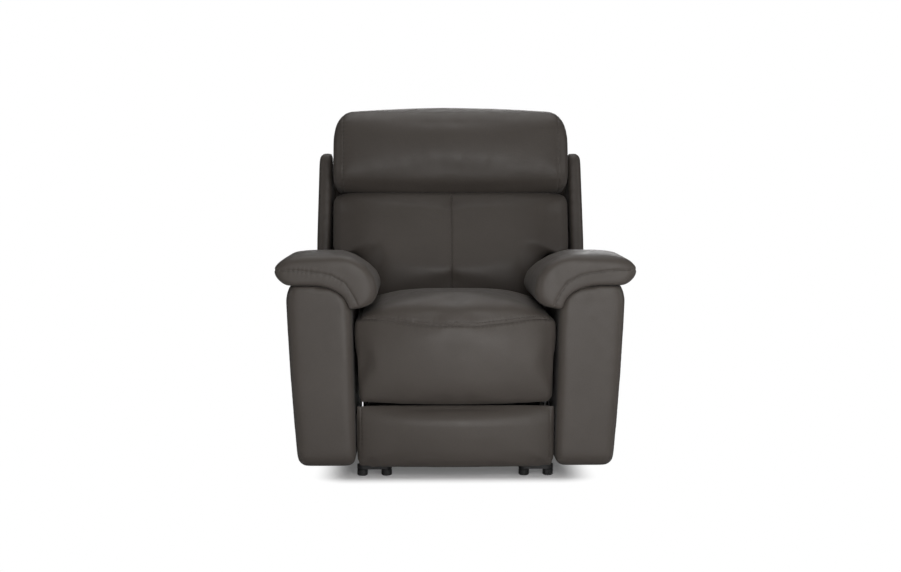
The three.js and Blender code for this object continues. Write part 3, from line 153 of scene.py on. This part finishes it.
def finish(name, metallic=0.0, coat=0.0, sheen=0.0, specular=0.5):
    """A new finish with its shader and the coordinates of the piece that it lies on."""
    material = bpy.data.materials.new(name)
    material.use_nodes = True
    shader = material.node_tree.nodes["Principled BSDF"]
    shader.inputs["Metallic"].default_value = metallic
    shader.inputs["Coat Weight"].default_value = coat
    shader.inputs["Sheen Weight"].default_value = sheen
    shader.inputs["Specular IOR Level"].default_value = specular
    place = material.node_tree.nodes.new("ShaderNodeTexCoord")
    return material, shader, place.outputs["Object"]


def cloud(material, place, scale, detail=3.0, stretch=None):
    """A cloudy pattern of so many waves to the metre, drawn out where stretch is small."""
    links = material.node_tree.links
    pattern = material.node_tree.nodes.new("ShaderNodeTexNoise")
    pattern.inputs["Scale"].default_value = scale
    pattern.inputs["Detail"].default_value = detail
    if stretch:
        drawn = material.node_tree.nodes.new("ShaderNodeMapping")
        drawn.inputs["Scale"].default_value = stretch
        links.new(place, drawn.inputs["Vector"])
        place = drawn.outputs["Vector"]
    links.new(place, pattern.inputs["Vector"])
    return pattern.outputs["Fac"]


def shades(material, value, socket, *stops):
    """Colours or greys laid over a value, as (place, colour) pairs, and led to a socket."""
    band = material.node_tree.nodes.new("ShaderNodeValToRGB")
    for element, (spot, colour) in zip(band.color_ramp.elements, stops):
        element.position = spot
        element.color = (*colour, 1) if isinstance(colour, tuple) else (colour, colour, colour, 1)
    material.node_tree.links.new(value, band.inputs["Fac"])
    material.node_tree.links.new(band.outputs["Color"], socket)


def relief(material, shader, *layers):
    """Bumps of (pattern, strength, height in metres), one over the other, on the shader."""
    normal = None
    for pattern, strength, height in layers:
        bump = material.node_tree.nodes.new("ShaderNodeBump")
        bump.inputs["Strength"].default_value = strength
        bump.inputs["Distance"].default_value = height
        material.node_tree.links.new(pattern, bump.inputs["Height"])
        if normal:
            material.node_tree.links.new(normal, bump.inputs["Normal"])
        normal = bump.outputs["Normal"]
    material.node_tree.links.new(normal, shader.inputs["Normal"])


def dress(material, *names):
    """Metal, wood and plastic pieces keep their CAD shape and take this finish."""
    for name in names:
        nodes[name].data.materials.clear()
        nodes[name].data.materials.append(material)


nylon, shader, place = finish("scuffed_nylon", specular=0.4)
scuff = cloud(nylon, place, 240, 5)
shades(nylon, scuff, shader.inputs["Base Color"],
       (0.35, (0.008, 0.008, 0.008)), (0.8, (0.030, 0.030, 0.029)))
shades(nylon, scuff, shader.inputs["Roughness"], (0.3, 0.42), (0.8, 0.66))
relief(nylon, shader, (scuff, 0.3, 0.0001))
dress(nylon, *(f"glide_{end}_{place_}_{side}" for end in ENDS for place_ in ("inner", "outer")
               for side in SIDES))

# Feet, rails and side plates: steel pressings and channels, welded up and sprayed satin black.
# The spray has a slight orange peel and lies thinner and duller in cloudy patches.
black_paint, shader, place = finish("sprayed_steel", metallic=0.2)
mist = cloud(black_paint, place, 9, 4)
orange_peel = cloud(black_paint, place, 620, 2)
shades(black_paint, mist, shader.inputs["Base Color"],
       (0.3, (0.010, 0.010, 0.011)), (0.75, (0.024, 0.023, 0.023)))
shades(black_paint, mist, shader.inputs["Roughness"], (0.25, 0.34), (0.8, 0.52))
relief(black_paint, shader, (orange_peel, 0.35, 0.0002))
dress(black_paint, *(f"foot_plate_{end}_{side}" for end in ENDS for side in SIDES),
      *(f"{piece}_{side}" for piece in ("rail", "side_plate") for side in SIDES),
      "recline_cross_tube", "footrest_cross_tube")

# Drives and power inlet: motor and screw housings moulded in black plastic with a fine spark
# grain, bolted to the cross tubes; the inlet is clipped into the right rail's end.
moulding, shader, place = finish("spark_grain_plastic", specular=0.45)
spark = cloud(moulding, place, 1500, 2)
shades(moulding, cloud(moulding, place, 12), shader.inputs["Base Color"],
       (0.3, (0.012, 0.012, 0.013)), (0.8, (0.022, 0.022, 0.023)))
shades(moulding, spark, shader.inputs["Roughness"], (0.3, 0.5), (0.7, 0.64))
relief(moulding, shader, (spark, 0.5, 0.00012))
dress(moulding, "footrest_drive", "recline_drive", "power_inlet")

# Footrest linkage: links cut from steel strip, riveted so that they turn, and sprayed black with
# the rest. The drives' rods are zinc plated, dull bright with a faint yellow cast and drawn grain.
zinc, shader, place = finish("zinc_plated_strip", metallic=1.0)
bloom = cloud(zinc, place, 26, 4)
drawn_grain = cloud(zinc, place, 900, 2, (1, 0.06, 1))
shades(zinc, bloom, shader.inputs["Base Color"],
       (0.3, (0.42, 0.41, 0.38)), (0.7, (0.60, 0.59, 0.56)))
shades(zinc, bloom, shader.inputs["Roughness"], (0.3, 0.28), (0.75, 0.44))
relief(zinc, shader, (drawn_grain, 0.25, 0.0001))
dress(zinc, "footrest_rod", "recline_rod")
dress(black_paint, "drive_tube", *(f"{link}_{side}" for side in SIDES for link in (
    "front_crank", "rear_crank", "lower_bar", "upper_bar", "footrest_bracket")))

# Seat frame and springs: a welded frame of square steel tube, with one zigzag wire laid across
# it from side to side to carry the foam.
dress(black_paint, "seat_frame")
dress(zinc, "seat_springs")

# Footrest board: plywood behind the footrest's foam, faced with thin black dust cloth that is
# drawn over its edges and stapled. The cloth is a bonded web, matt and slightly uneven.
dust_cloth, shader, place = finish("black_dust_cloth", sheen=0.15, specular=0.2)
web = cloud(dust_cloth, place, 900, 5)
shades(dust_cloth, cloud(dust_cloth, place, 30), shader.inputs["Base Color"],
       (0.3, (0.011, 0.011, 0.012)), (0.7, (0.021, 0.020, 0.020)))
shades(dust_cloth, web, shader.inputs["Roughness"], (0.3, 0.8), (0.8, 0.95))
relief(dust_cloth, shader, (web, 0.5, 0.0002))
dress(dust_cloth, "footrest_board")

# Footrest pad: foam under hide, pulled round the board and stapled behind, crowned in front and
# sewn to an end piece at each end. The hide is a warm dark grey with a corrected pebble grain.
hide, shader, place = finish("dark_grey_hide", coat=0.03, sheen=0.04, specular=0.36)
shader.inputs["Coat Roughness"].default_value = 0.35
pebbles = hide.node_tree.nodes.new("ShaderNodeTexVoronoi")
pebbles.feature = "SMOOTH_F1"
pebbles.inputs["Scale"].default_value = 760
pebbles.inputs["Smoothness"].default_value = 0.6
pebble = pebbles.outputs["Distance"]
hide.node_tree.links.new(place, pebbles.inputs["Vector"])
handling = cloud(hide, place, 34)
dye = hide.node_tree.nodes.new("ShaderNodeMix")
dye.data_type = "RGBA"
dye.blend_type = "MULTIPLY"
dye.inputs["Factor"].default_value = 1.0
shades(hide, cloud(hide, place, 5, 4), dye.inputs[6],
       (0.3, (0.078, 0.066, 0.057)), (0.7, (0.090, 0.077, 0.067)))
shades(hide, pebble, dye.inputs[7], (0.1, 1.0), (0.75, 0.82))
hide.node_tree.links.new(dye.outputs[2], shader.inputs["Base Color"])
shades(hide, handling, shader.inputs["Roughness"], (0.3, 0.46), (0.75, 0.58))
pores = cloud(hide, place, 1400)
relief(hide, shader, (handling, 0.12, 0.0012), (pebble, -0.28, 0.00035), (pores, 0.1, 0.0002))

thread, shader, place = finish("bonded_thread", sheen=0.3, specular=0.3)
twist = cloud(thread, place, 2600, 2)
shades(thread, twist, shader.inputs["Base Color"],
       (0.3, (0.040, 0.035, 0.031)), (0.7, (0.075, 0.066, 0.059)))
shades(thread, twist, shader.inputs["Roughness"], (0.3, 0.5), (0.7, 0.7))
relief(thread, shader, (twist, 0.4, 0.0001))


def hold(*pieces):
    """These pieces and no others are selected, the first of them active."""
    bpy.ops.object.select_all(action="DESELECT")
    for piece in pieces:
        piece.select_set(True)
    bpy.context.view_layer.objects.active = pieces[0]


def work(piece, kind, **settings):
    """One modifier on a piece, set up and applied."""
    hold(piece)
    modifier = piece.modifiers.new(kind.lower(), kind)
    for key, value in settings.items():
        setattr(modifier, key, value)
    bpy.ops.object.modifier_apply(modifier=modifier.name)


def foam(name, *cad_names):
    """The foam of a padded piece: the merged copy of its CAD solids."""
    blocks = [bpy.data.objects.new(name, nodes[cad_name].data.copy()) for cad_name in cad_names]
    for block in blocks:
        scene.collection.objects.link(block)
        block.data.materials.clear()
    hold(*blocks)
    if len(blocks) > 1:
        bpy.ops.object.join()
    bpy.ops.object.mode_set(mode="EDIT")
    bpy.ops.mesh.select_all(action="SELECT")
    bpy.ops.mesh.remove_doubles(threshold=0.00002)
    bpy.ops.object.mode_set(mode="OBJECT")
    blocks[0].data.materials.append(hide)
    return blocks[0]


def clamp(share):
    """A share kept between none and all."""
    return max(0.0, min(1.0, share))


def ease(piece, iterations, where):
    """The hide eased over an uneven place, in full where the share given by where is one."""
    eased = piece.vertex_groups.new(name="eased")
    for v in piece.data.vertices:
        eased.add([v.index], clamp(where(v.co)), "REPLACE")
    work(piece, "SMOOTH", factor=0.5, iterations=iterations, vertex_group="eased")
    piece.vertex_groups.clear()


def fill_out(piece, voxel, inset=0.0, cap=0.0, free=(), soften=3, settle=6):
    """The hide over the foam. With a cap, it is drawn in by inset on the sides that are free,
    blown up as cloth, and stopped at the cap where it swells there, or soon where it draws in."""
    most_drawn_in = 0.002
    work(piece, "REMESH", mode="VOXEL", voxel_size=voxel, use_smooth_shade=True)
    work(piece, "SMOOTH", factor=0.5, iterations=soften)
    if cap:
        vertices = piece.data.vertices
        ways = [v.normal.copy() for v in vertices]
        slack = [clamp(1.6 * max(way.dot(Vector(side)) for side in free)) for way in ways]
        flat = [v.co - way * inset * share for v, way, share in zip(vertices, ways, slack)]
        for v, start in zip(vertices, flat):
            v.co = start
        cloth = piece.modifiers.new("cloth", "CLOTH")
        cloth.settings.quality = 4
        cloth.settings.mass = 0.4
        cloth.settings.tension_stiffness = 30
        cloth.settings.compression_stiffness = 30
        cloth.settings.shear_stiffness = 12
        cloth.settings.bending_stiffness = 20
        cloth.settings.air_damping = 4
        cloth.settings.use_pressure = True
        cloth.settings.uniform_pressure_force = 4
        cloth.settings.effector_weights.gravity = 0
        cloth.collision_settings.use_collision = False
        cloth.point_cache.frame_end = 20
        for step in range(1, 21):
            scene.frame_set(step)
        blown = piece.evaluated_get(bpy.context.evaluated_depsgraph_get()).data
        full = [v.co.copy() for v in blown.vertices]
        piece.modifiers.remove(cloth)
        for v, start, way, share, end in zip(piece.data.vertices, flat, ways, slack, full):
            most = cap * share if (end - start).dot(way) > 0 else most_drawn_in
            v.co = start + (end - start) * min(1.0, most / max((end - start).length, 1e-9))
        scene.frame_set(1)
    work(piece, "SMOOTH", factor=0.5, iterations=settle)
    work(piece, "SUBSURF", levels=1, render_levels=1)
    bpy.ops.object.shade_smooth()


def surface_of(piece):
    """The piece's faces as a tree that rays and nearest points are found on."""
    return BVHTree.FromPolygons([v.co for v in piece.data.vertices],
                                [f.vertices for f in piece.data.polygons])


def sew(piece, path, depth=0.003, reach=0.0045, pucker=0.0004, aim=None):
    """A seam sunk into the hide along a path, which is laid on it from outside along aim."""
    surface = surface_of(piece)
    mark_gap, pucker_reach, hide_moved = 0.003, 0.012, 0.04
    marks = []
    for start, end in zip(path, path[1:]):
        steps = max(1, round((end - start).length / mark_gap))
        marks += [start.lerp(end, k / steps) for k in range(steps)]
    marks.append(path[-1])
    if aim:
        laid = [surface.ray_cast(mark - aim * 0.2, aim)[:2] for mark in marks]
    else:
        laid = [surface.find_nearest(mark)[:2] for mark in marks]
    laid = [(spot, normal) for spot, normal in laid if spot]
    line = KDTree(len(laid))
    for i, (spot, _) in enumerate(laid):
        line.insert(spot, i)
    line.balance()
    hold(piece)
    bpy.context.tool_settings.mesh_select_mode = (False, False, True)
    for width in (3 * reach, 1.8 * reach):
        bpy.ops.object.mode_set(mode="EDIT")
        bpy.ops.mesh.select_all(action="DESELECT")
        bpy.ops.object.mode_set(mode="OBJECT")
        for face in piece.data.polygons:
            face.select = line.find(face.center)[2] < width
        bpy.ops.object.mode_set(mode="EDIT")
        bpy.ops.mesh.subdivide(number_cuts=1, smoothness=0)
        bpy.ops.object.mode_set(mode="OBJECT")
    for v in piece.data.vertices:
        _, i, away = line.find(v.co)
        if away < hide_moved:
            along = mark_gap * i
            wave = math.sin(420 * along + 2 * math.sin(61 * along)) * math.exp(-away / pucker_reach)
            v.co -= laid[i][1] * (depth * math.exp(-((away / reach) ** 1.5)) + pucker * wave)
    return laid


def stitch(name, piece, laid, aside, body, pitch=0.0055):
    """A row of stitches beside a seam: one is modelled, repeated, and bent along the row."""
    thread_half = 0.0005
    surface = surface_of(piece)
    row = []
    for i, (spot, normal) in enumerate(laid):
        ahead = laid[min(i + 1, len(laid) - 1)][0] - laid[max(i - 1, 0)][0]
        row.append(surface.find_nearest(spot + ahead.cross(normal).normalized() * aside)[0])
    length = sum((b - a).length for a, b in zip(row, row[1:]))
    guide = bpy.data.objects.new("row", bpy.data.curves.new("row", "CURVE"))
    scene.collection.objects.link(guide)
    guide.data.dimensions = "3D"
    spline = guide.data.splines.new("POLY")
    spline.points.add(len(row) - 1)
    for point, spot in zip(spline.points, row):
        point.co = (*spot, 1)
    bpy.ops.object.select_all(action="DESELECT")
    bpy.ops.mesh.primitive_uv_sphere_add(segments=6, ring_count=4, radius=1, location=(0, 0, 0))
    bpy.ops.object.mode_set(mode="EDIT")
    bpy.ops.mesh.select_all(action="SELECT")
    bpy.ops.transform.resize(value=(0.44 * pitch, thread_half, thread_half))
    bpy.ops.transform.translate(value=(pitch / 2, 0, 0))
    bpy.ops.object.mode_set(mode="OBJECT")
    bpy.ops.object.shade_smooth()
    row_piece = bpy.context.object
    row_piece.name = name
    work(row_piece, "ARRAY", count=int(length / pitch), use_relative_offset=False,
         use_constant_offset=True, constant_offset_displace=(pitch, 0, 0))
    work(row_piece, "CURVE", object=guide, deform_axis="POS_X")
    bpy.data.objects.remove(guide)
    row_piece.data.materials.append(thread)
    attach(row_piece, body)


def round_end(piece, centre, x):
    """The path round a piece's section at x, found from a point inside it."""
    surface = surface_of(piece)
    start = Vector((x, *centre))
    rays_round = 72
    turns = [2 * math.pi * k / rays_round for k in range(rays_round + 1)]
    ways = [Vector((0, math.cos(turn), math.sin(turn))) for turn in turns]
    hits = [surface.ray_cast(start, way)[0] for way in ways]
    return [hit for hit in hits if hit]


def full_length(piece, axis, start=None, stop=None):
    """The hide pulled out to its full length again, which the smoothing has shortened a little."""
    ends = [v.co[axis] for v in piece.data.vertices]
    first, last = min(ends), max(ends)
    start = first if start is None else start
    stop = last if stop is None else stop
    for v in piece.data.vertices:
        v.co[axis] = start + (v.co[axis] - first) * (stop - start) / (last - first)


def roll_edge(piece, edge, reach, dip, roll):
    """A level edge on the chair's front that rolls back out of sight and hangs a little lower in
    the middle than at its ends."""
    behind, half_width = 0.42, 0.28
    for v in piece.data.vertices:
        share = max(0.0, 1 - abs(v.co.z - edge) / reach)
        forward = clamp((-0.425 - v.co.y) / 0.03)
        if v.co.y < -behind:
            v.co.y = -behind + (v.co.y + behind) * (1 - roll * share ** 3)
            middle = 1 - 0.55 * (v.co.x / half_width) ** 2
            v.co.z -= forward * dip * middle * share * share * (3 - 2 * share)


def fall_away(piece, bottom, top, rear, share):
    """A front that stands out fully at its top and falls back by a share of its depth below."""
    for v in piece.data.vertices:
        if v.co.y < rear and v.co.z < top:
            drop = min(1.0, (top - v.co.z) / (top - bottom))
            v.co.y = rear + (v.co.y - rear) * (1 - share * drop ** 2)


FORWARD, UP, DOWN, RIGHT = (0, -1, 0), (0, 0, 1), (0, 0, -1), (1, 0, 0)
low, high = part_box("footrest_pad")
foot = foam("footrest_cover", "footrest_pad")
fall_away(foot, low.z, high.z, high.y, 0.4)
fill_out(foot, 0.005, 0.004, 0.014, (FORWARD, DOWN), soften=2)
full_length(foot, 0, low.x, high.x)
full_length(foot, 2, low.z - 0.004, high.z)
roll_edge(foot, high.z, 0.07, 0.010, 0.5)
inside = ((low.y + high.y) / 2 + 0.01, (low.z + high.z) / 2)
for way in (-1, 1):
    end_seam = round_end(foot, inside, way * (high.x - 0.012))
    sew(foot, end_seam, depth=0.0012, reach=0.003, pucker=0.0003)
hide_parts("footrest_pad")
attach(foot, "footrest")

# Seat: one deep foam cushion over a bowed front border, in one cover. A double seam joins the top
# to the border just under the front edge and runs on along both sides.
low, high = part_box("seat_front_panel")
seat = foam("seat_cover", "seat_cushion", "seat_front_panel")
fall_away(seat, low.z, high.z, high.y, 0.38)
for v in seat.data.vertices:
    v.co.x *= 1 + 0.016 * clamp((v.co.z - low.z) / (high.z - low.z))
seat_voxel = 0.008
work(seat, "REMESH", mode="VOXEL", voxel_size=seat_voxel)


def front_brow(spot):
    """The share of the seat's front brow, between the sides, from the border up to the crown."""
    return min((spot.z - 0.40) / 0.03, (-0.22 - spot.y) / 0.08, (0.27 - abs(spot.x)) / 0.03)


ease(seat, 60, front_brow)
fill_out(seat, seat_voxel, 0.006, 0.020, (FORWARD, UP), settle=10)
ease(seat, 70, front_brow)
full_length(seat, 0, low.x - 0.001, high.x + 0.001)
full_length(seat, 2, low.z)
roll_edge(seat, low.z, 0.10, 0.010, 0.45)
front_curve = []
for k in range(-14, 15):
    share = k / 14
    bow, rise = 0.042 * share ** 2, 0.028 * share ** 2
    front_curve.append(Vector((share * 0.281, low.y - 0.012 + bow, 0.443 + rise)))
side_run = [Vector((0.284, y, 0.471)) for y in (0.10, -0.05, -0.20, -0.35)]
mirror = Matrix.Diagonal((-1, 1, 1, 1))
front_seam = [mirror @ spot for spot in side_run] + front_curve + side_run[::-1]
laid = sew(seat, front_seam, depth=0.0035, reach=0.004)
stitch("seat_stitching_lower", seat, laid, 0.0035, "base")
upper_seam = [spot + Vector((0, 0.001, 0.0085)) for spot in front_curve]
laid = sew(seat, upper_seam, depth=0.0012, reach=0.0025, pucker=0.0002)
stitch("seat_stitching_upper", seat, laid, 0.0, "base")
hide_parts("seat_cushion", "seat_front_panel")
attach(seat, "base")

# Arms: foam over a board box, the front panel sewn to the outer side along the front edge. Both
# are cut from one pattern, the left one as its mirror image and with a pocket for the switches.


def mirror_copy(piece, name):
    """The other hand of a piece, with its faces turned outward again."""
    hold(piece)
    bpy.ops.object.duplicate()
    other = bpy.context.object
    other.name = name
    bpy.ops.object.mode_set(mode="EDIT")
    bpy.ops.mesh.select_all(action="SELECT")
    bpy.ops.transform.resize(value=(-1, 1, 1), center_override=(0, 0, 0))
    bpy.ops.mesh.normals_make_consistent(inside=False)
    bpy.ops.object.mode_set(mode="OBJECT")
    return other


low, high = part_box("arm_right")
arm_right = foam("arm_cover_right", "arm_right")
fill_out(arm_right, 0.009)
full_length(arm_right, 0, low.x, high.x + 0.003)
full_length(arm_right, 2, low.z - 0.007, high.z)
for v in arm_right.data.vertices:
    outward = max(0.0, (v.co.x - low.x) / 0.16)
    belly = math.sin(math.pi * clamp((0.52 - v.co.z) / 0.52))
    shoulder = max(0.0, (v.co.z - 0.50) / 0.05) ** 2
    v.co.x += outward * (0.003 * belly - 0.012 * shoulder)
lean = (high.x - 0.445) / (high.z - low.z)
edge_seam = [Vector((0.440 + lean * (z - low.z), low.y + 0.018, z))
             for z in (0.075, 0.2, 0.35, 0.49, 0.535)]
sew(arm_right, edge_seam, depth=0.0016, reach=0.003, pucker=0.0003)
arm_left = mirror_copy(arm_right, "arm_cover_left")
for v in arm_left.data.vertices:
    if v.co.x < -0.44:
        from_panel = (v.co.y + 0.30) ** 2 + (v.co.z - 0.47) ** 2
        v.co.x += 0.004 * math.exp(-from_panel / 0.08 ** 2)
buttons = [f"button_{k}" for k in (1, 2, 3, 4)]
fittings = foam("pocket", "switch_panel", *buttons)
hold(fittings)
bpy.ops.object.mode_set(mode="EDIT")
bpy.ops.mesh.select_all(action="SELECT")
bpy.ops.mesh.convex_hull()
bpy.ops.transform.resize(value=(1.5, 1.03, 1.05))
bpy.ops.object.mode_set(mode="OBJECT")
work(arm_left, "BOOLEAN", object=fittings, operation="DIFFERENCE", solver="EXACT")
bpy.data.objects.remove(fittings)
for arm, side in ((arm_left, "left"), (arm_right, "right")):
    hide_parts(f"arm_{side}")
    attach(arm, "base")

# Switch panel: a moulded plate let into the left arm's outer face, with four push buttons under
# satin metal caps that stand a few millimetres proud.
dress(moulding, "switch_panel")
satin, shader, place = finish("satin_caps", metallic=1.0)
brushed = cloud(satin, place, 1100, 2, (1, 0.04, 1))
shades(satin, brushed, shader.inputs["Base Color"],
       (0.3, (0.46, 0.46, 0.47)), (0.7, (0.58, 0.58, 0.59)))
shades(satin, brushed, shader.inputs["Roughness"], (0.3, 0.26), (0.7, 0.38))
relief(satin, shader, (brushed, 0.2, 0.0001))
dress(satin, *buttons)

# Arm pads: overstuffed pillows that wrap over the arms' shoulders and hang out past them. A seam
# crosses the front and runs back along the outer edge, topstitched on one side.
pad_right = foam("arm_cushion_right", "arm_pad_right")
fill_out(pad_right, 0.007, 0.004, 0.012, (FORWARD, RIGHT, UP), soften=4)
low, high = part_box("arm_pad_right")
full_length(pad_right, 0, low.x + 0.013, high.x + 0.001)
pad_middle = 0.585
for v in pad_right.data.vertices:
    tip = clamp((v.co.x - 0.40) / 0.11)
    if v.co.z > pad_middle:
        v.co.z = pad_middle + (v.co.z - pad_middle) * (1 - 0.30 * tip ** 2)
pad_seam = [Vector((high.x, y, 0.592)) for y in (0.19, 0.0, -0.2, -0.40)]
pad_seam += [Vector(spot) for spot in (
    (0.500, -0.452, 0.593), (0.478, -0.470, 0.595), (0.451, low.y, 0.595), (0.381, low.y, 0.5866),
    (0.3485, low.y, 0.5796), (0.3323, low.y, 0.5704), (0.3114, low.y, 0.5587),
    (0.2975, low.y, 0.5378), (0.2836, low.y, 0.5147), (0.274, low.y, 0.492))]
laid = sew(pad_right, pad_seam, depth=0.0022, reach=0.0035)
pad_left = mirror_copy(pad_right, "arm_cushion_left")
stitch("pad_stitching_right", pad_right, laid, -0.0035, "base")
mirrored_laid = [(mirror @ spot, mirror @ normal) for spot, normal in laid]
stitch("pad_stitching_left", pad_left, mirrored_laid, 0.0035, "base")
for pad, side in ((pad_left, "left"), (pad_right, "right")):
    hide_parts(f"arm_pad_{side}")
    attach(pad, "base")

# Back frame: a ladder of sprayed steel on two brackets that turn on the hinge pins, with the tube
# that the recline drive pushes.
dress(black_paint, "back_frame", "back_bracket_left", "back_bracket_right", "recline_tube")

# Back shell: thin foam and hide over a moulded back panel with an ear at each side. It is too
# tight to swell, so it is only smoothed. Its rear panel is set in with a seam all round.
shell = foam("back_shell_cover", "back_shell")
fill_out(shell, 0.009, soften=2)
low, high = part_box("back_shell")
full_length(shell, 0, low.x, high.x)
for v in shell.data.vertices:
    v.co.x *= 1 + 0.013 * clamp((0.90 - v.co.z) / 0.25)
tilt = math.radians(12)
hinge = Vector((0, 0.212, 0.300))


def on_back(x, y, z):
    """A place given in the back's own frame, from its hinge, up and to the rear."""
    rearward = y * math.cos(tilt) + z * math.sin(tilt)
    upward = z * math.cos(tilt) - y * math.sin(tilt)
    return hinge + Vector((x, rearward, upward))


to_rear = on_back(0, 1, 0) - hinge
half, foot_edge, top_edge = 0.402, -0.115, 0.615
corners = ((-half, foot_edge), (half, foot_edge), (half, top_edge), (-half, top_edge),
           (-half, foot_edge))
rear_seam = [on_back(x, 0.16, z) for x, z in corners]
laid = sew(shell, rear_seam, depth=0.0018, reach=0.003, pucker=0.0002, aim=-to_rear)
stitch("shell_stitching", shell, laid, 0.004, "back")
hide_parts("back_shell")
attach(shell, "back")

# Back cushion: fibre-filled, broad across the chest and narrower between the arm pads, with a
# seam down the middle that is topstitched on both sides.
chest = foam("back_cushion_cover", "back_cushion")
chest_voxel = 0.008
work(chest, "REMESH", mode="VOXEL", voxel_size=chest_voxel)


def shoulders(spot):
    """The share of the places beside the pads, where the cushion grows from waist to chest."""
    across = clamp(2 - abs(abs(spot.x) - 0.225) / 0.055)
    return across * clamp(2 - abs(spot.z - 0.60) / 0.09)


ease(chest, 110, shoulders)
fill_out(chest, chest_voxel, 0.006, 0.018, (FORWARD,), settle=10)
ease(chest, 80, shoulders)
full_length(chest, 2, None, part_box("back_cushion")[1].z - 0.012)
middle_seam = [on_back(0, -0.16, z / 100) for z in range(-2, 50, 2)]
laid = sew(chest, middle_seam, depth=0.0035, reach=0.003, pucker=0.0001, aim=to_rear)
stitch("back_stitching_left", chest, laid, 0.0035, "back", pitch=0.0045)
stitch("back_stitching_right", chest, laid, -0.0035, "back", pitch=0.0045)
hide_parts("back_cushion")
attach(chest, "back")

# Headrest: a bolster on a plated tube between two arms from the back frame, with round ends that
# are sewn in.
dress(zinc, "headrest_arm_left", "headrest_arm_right", "headrest_tube")
head = foam("headrest_cover", "headrest_cushion")
fill_out(head, 0.008, 0.006, 0.018, (FORWARD, UP), soften=2, settle=14)
low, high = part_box("headrest_cushion")
full_length(head, 0, low.x - 0.002, high.x + 0.002)
full_length(head, 2, low.z - 0.012, high.z + 0.004)
inside = ((low.y + high.y) / 2, (low.z + high.z) / 2)
for way in (-1, 1):
    end_seam = round_end(head, inside, way * (high.x - 0.030))
    sew(head, end_seam, depth=0.0014, reach=0.003, pucker=0.0003)
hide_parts("headrest_cushion")
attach(head, "headrest")
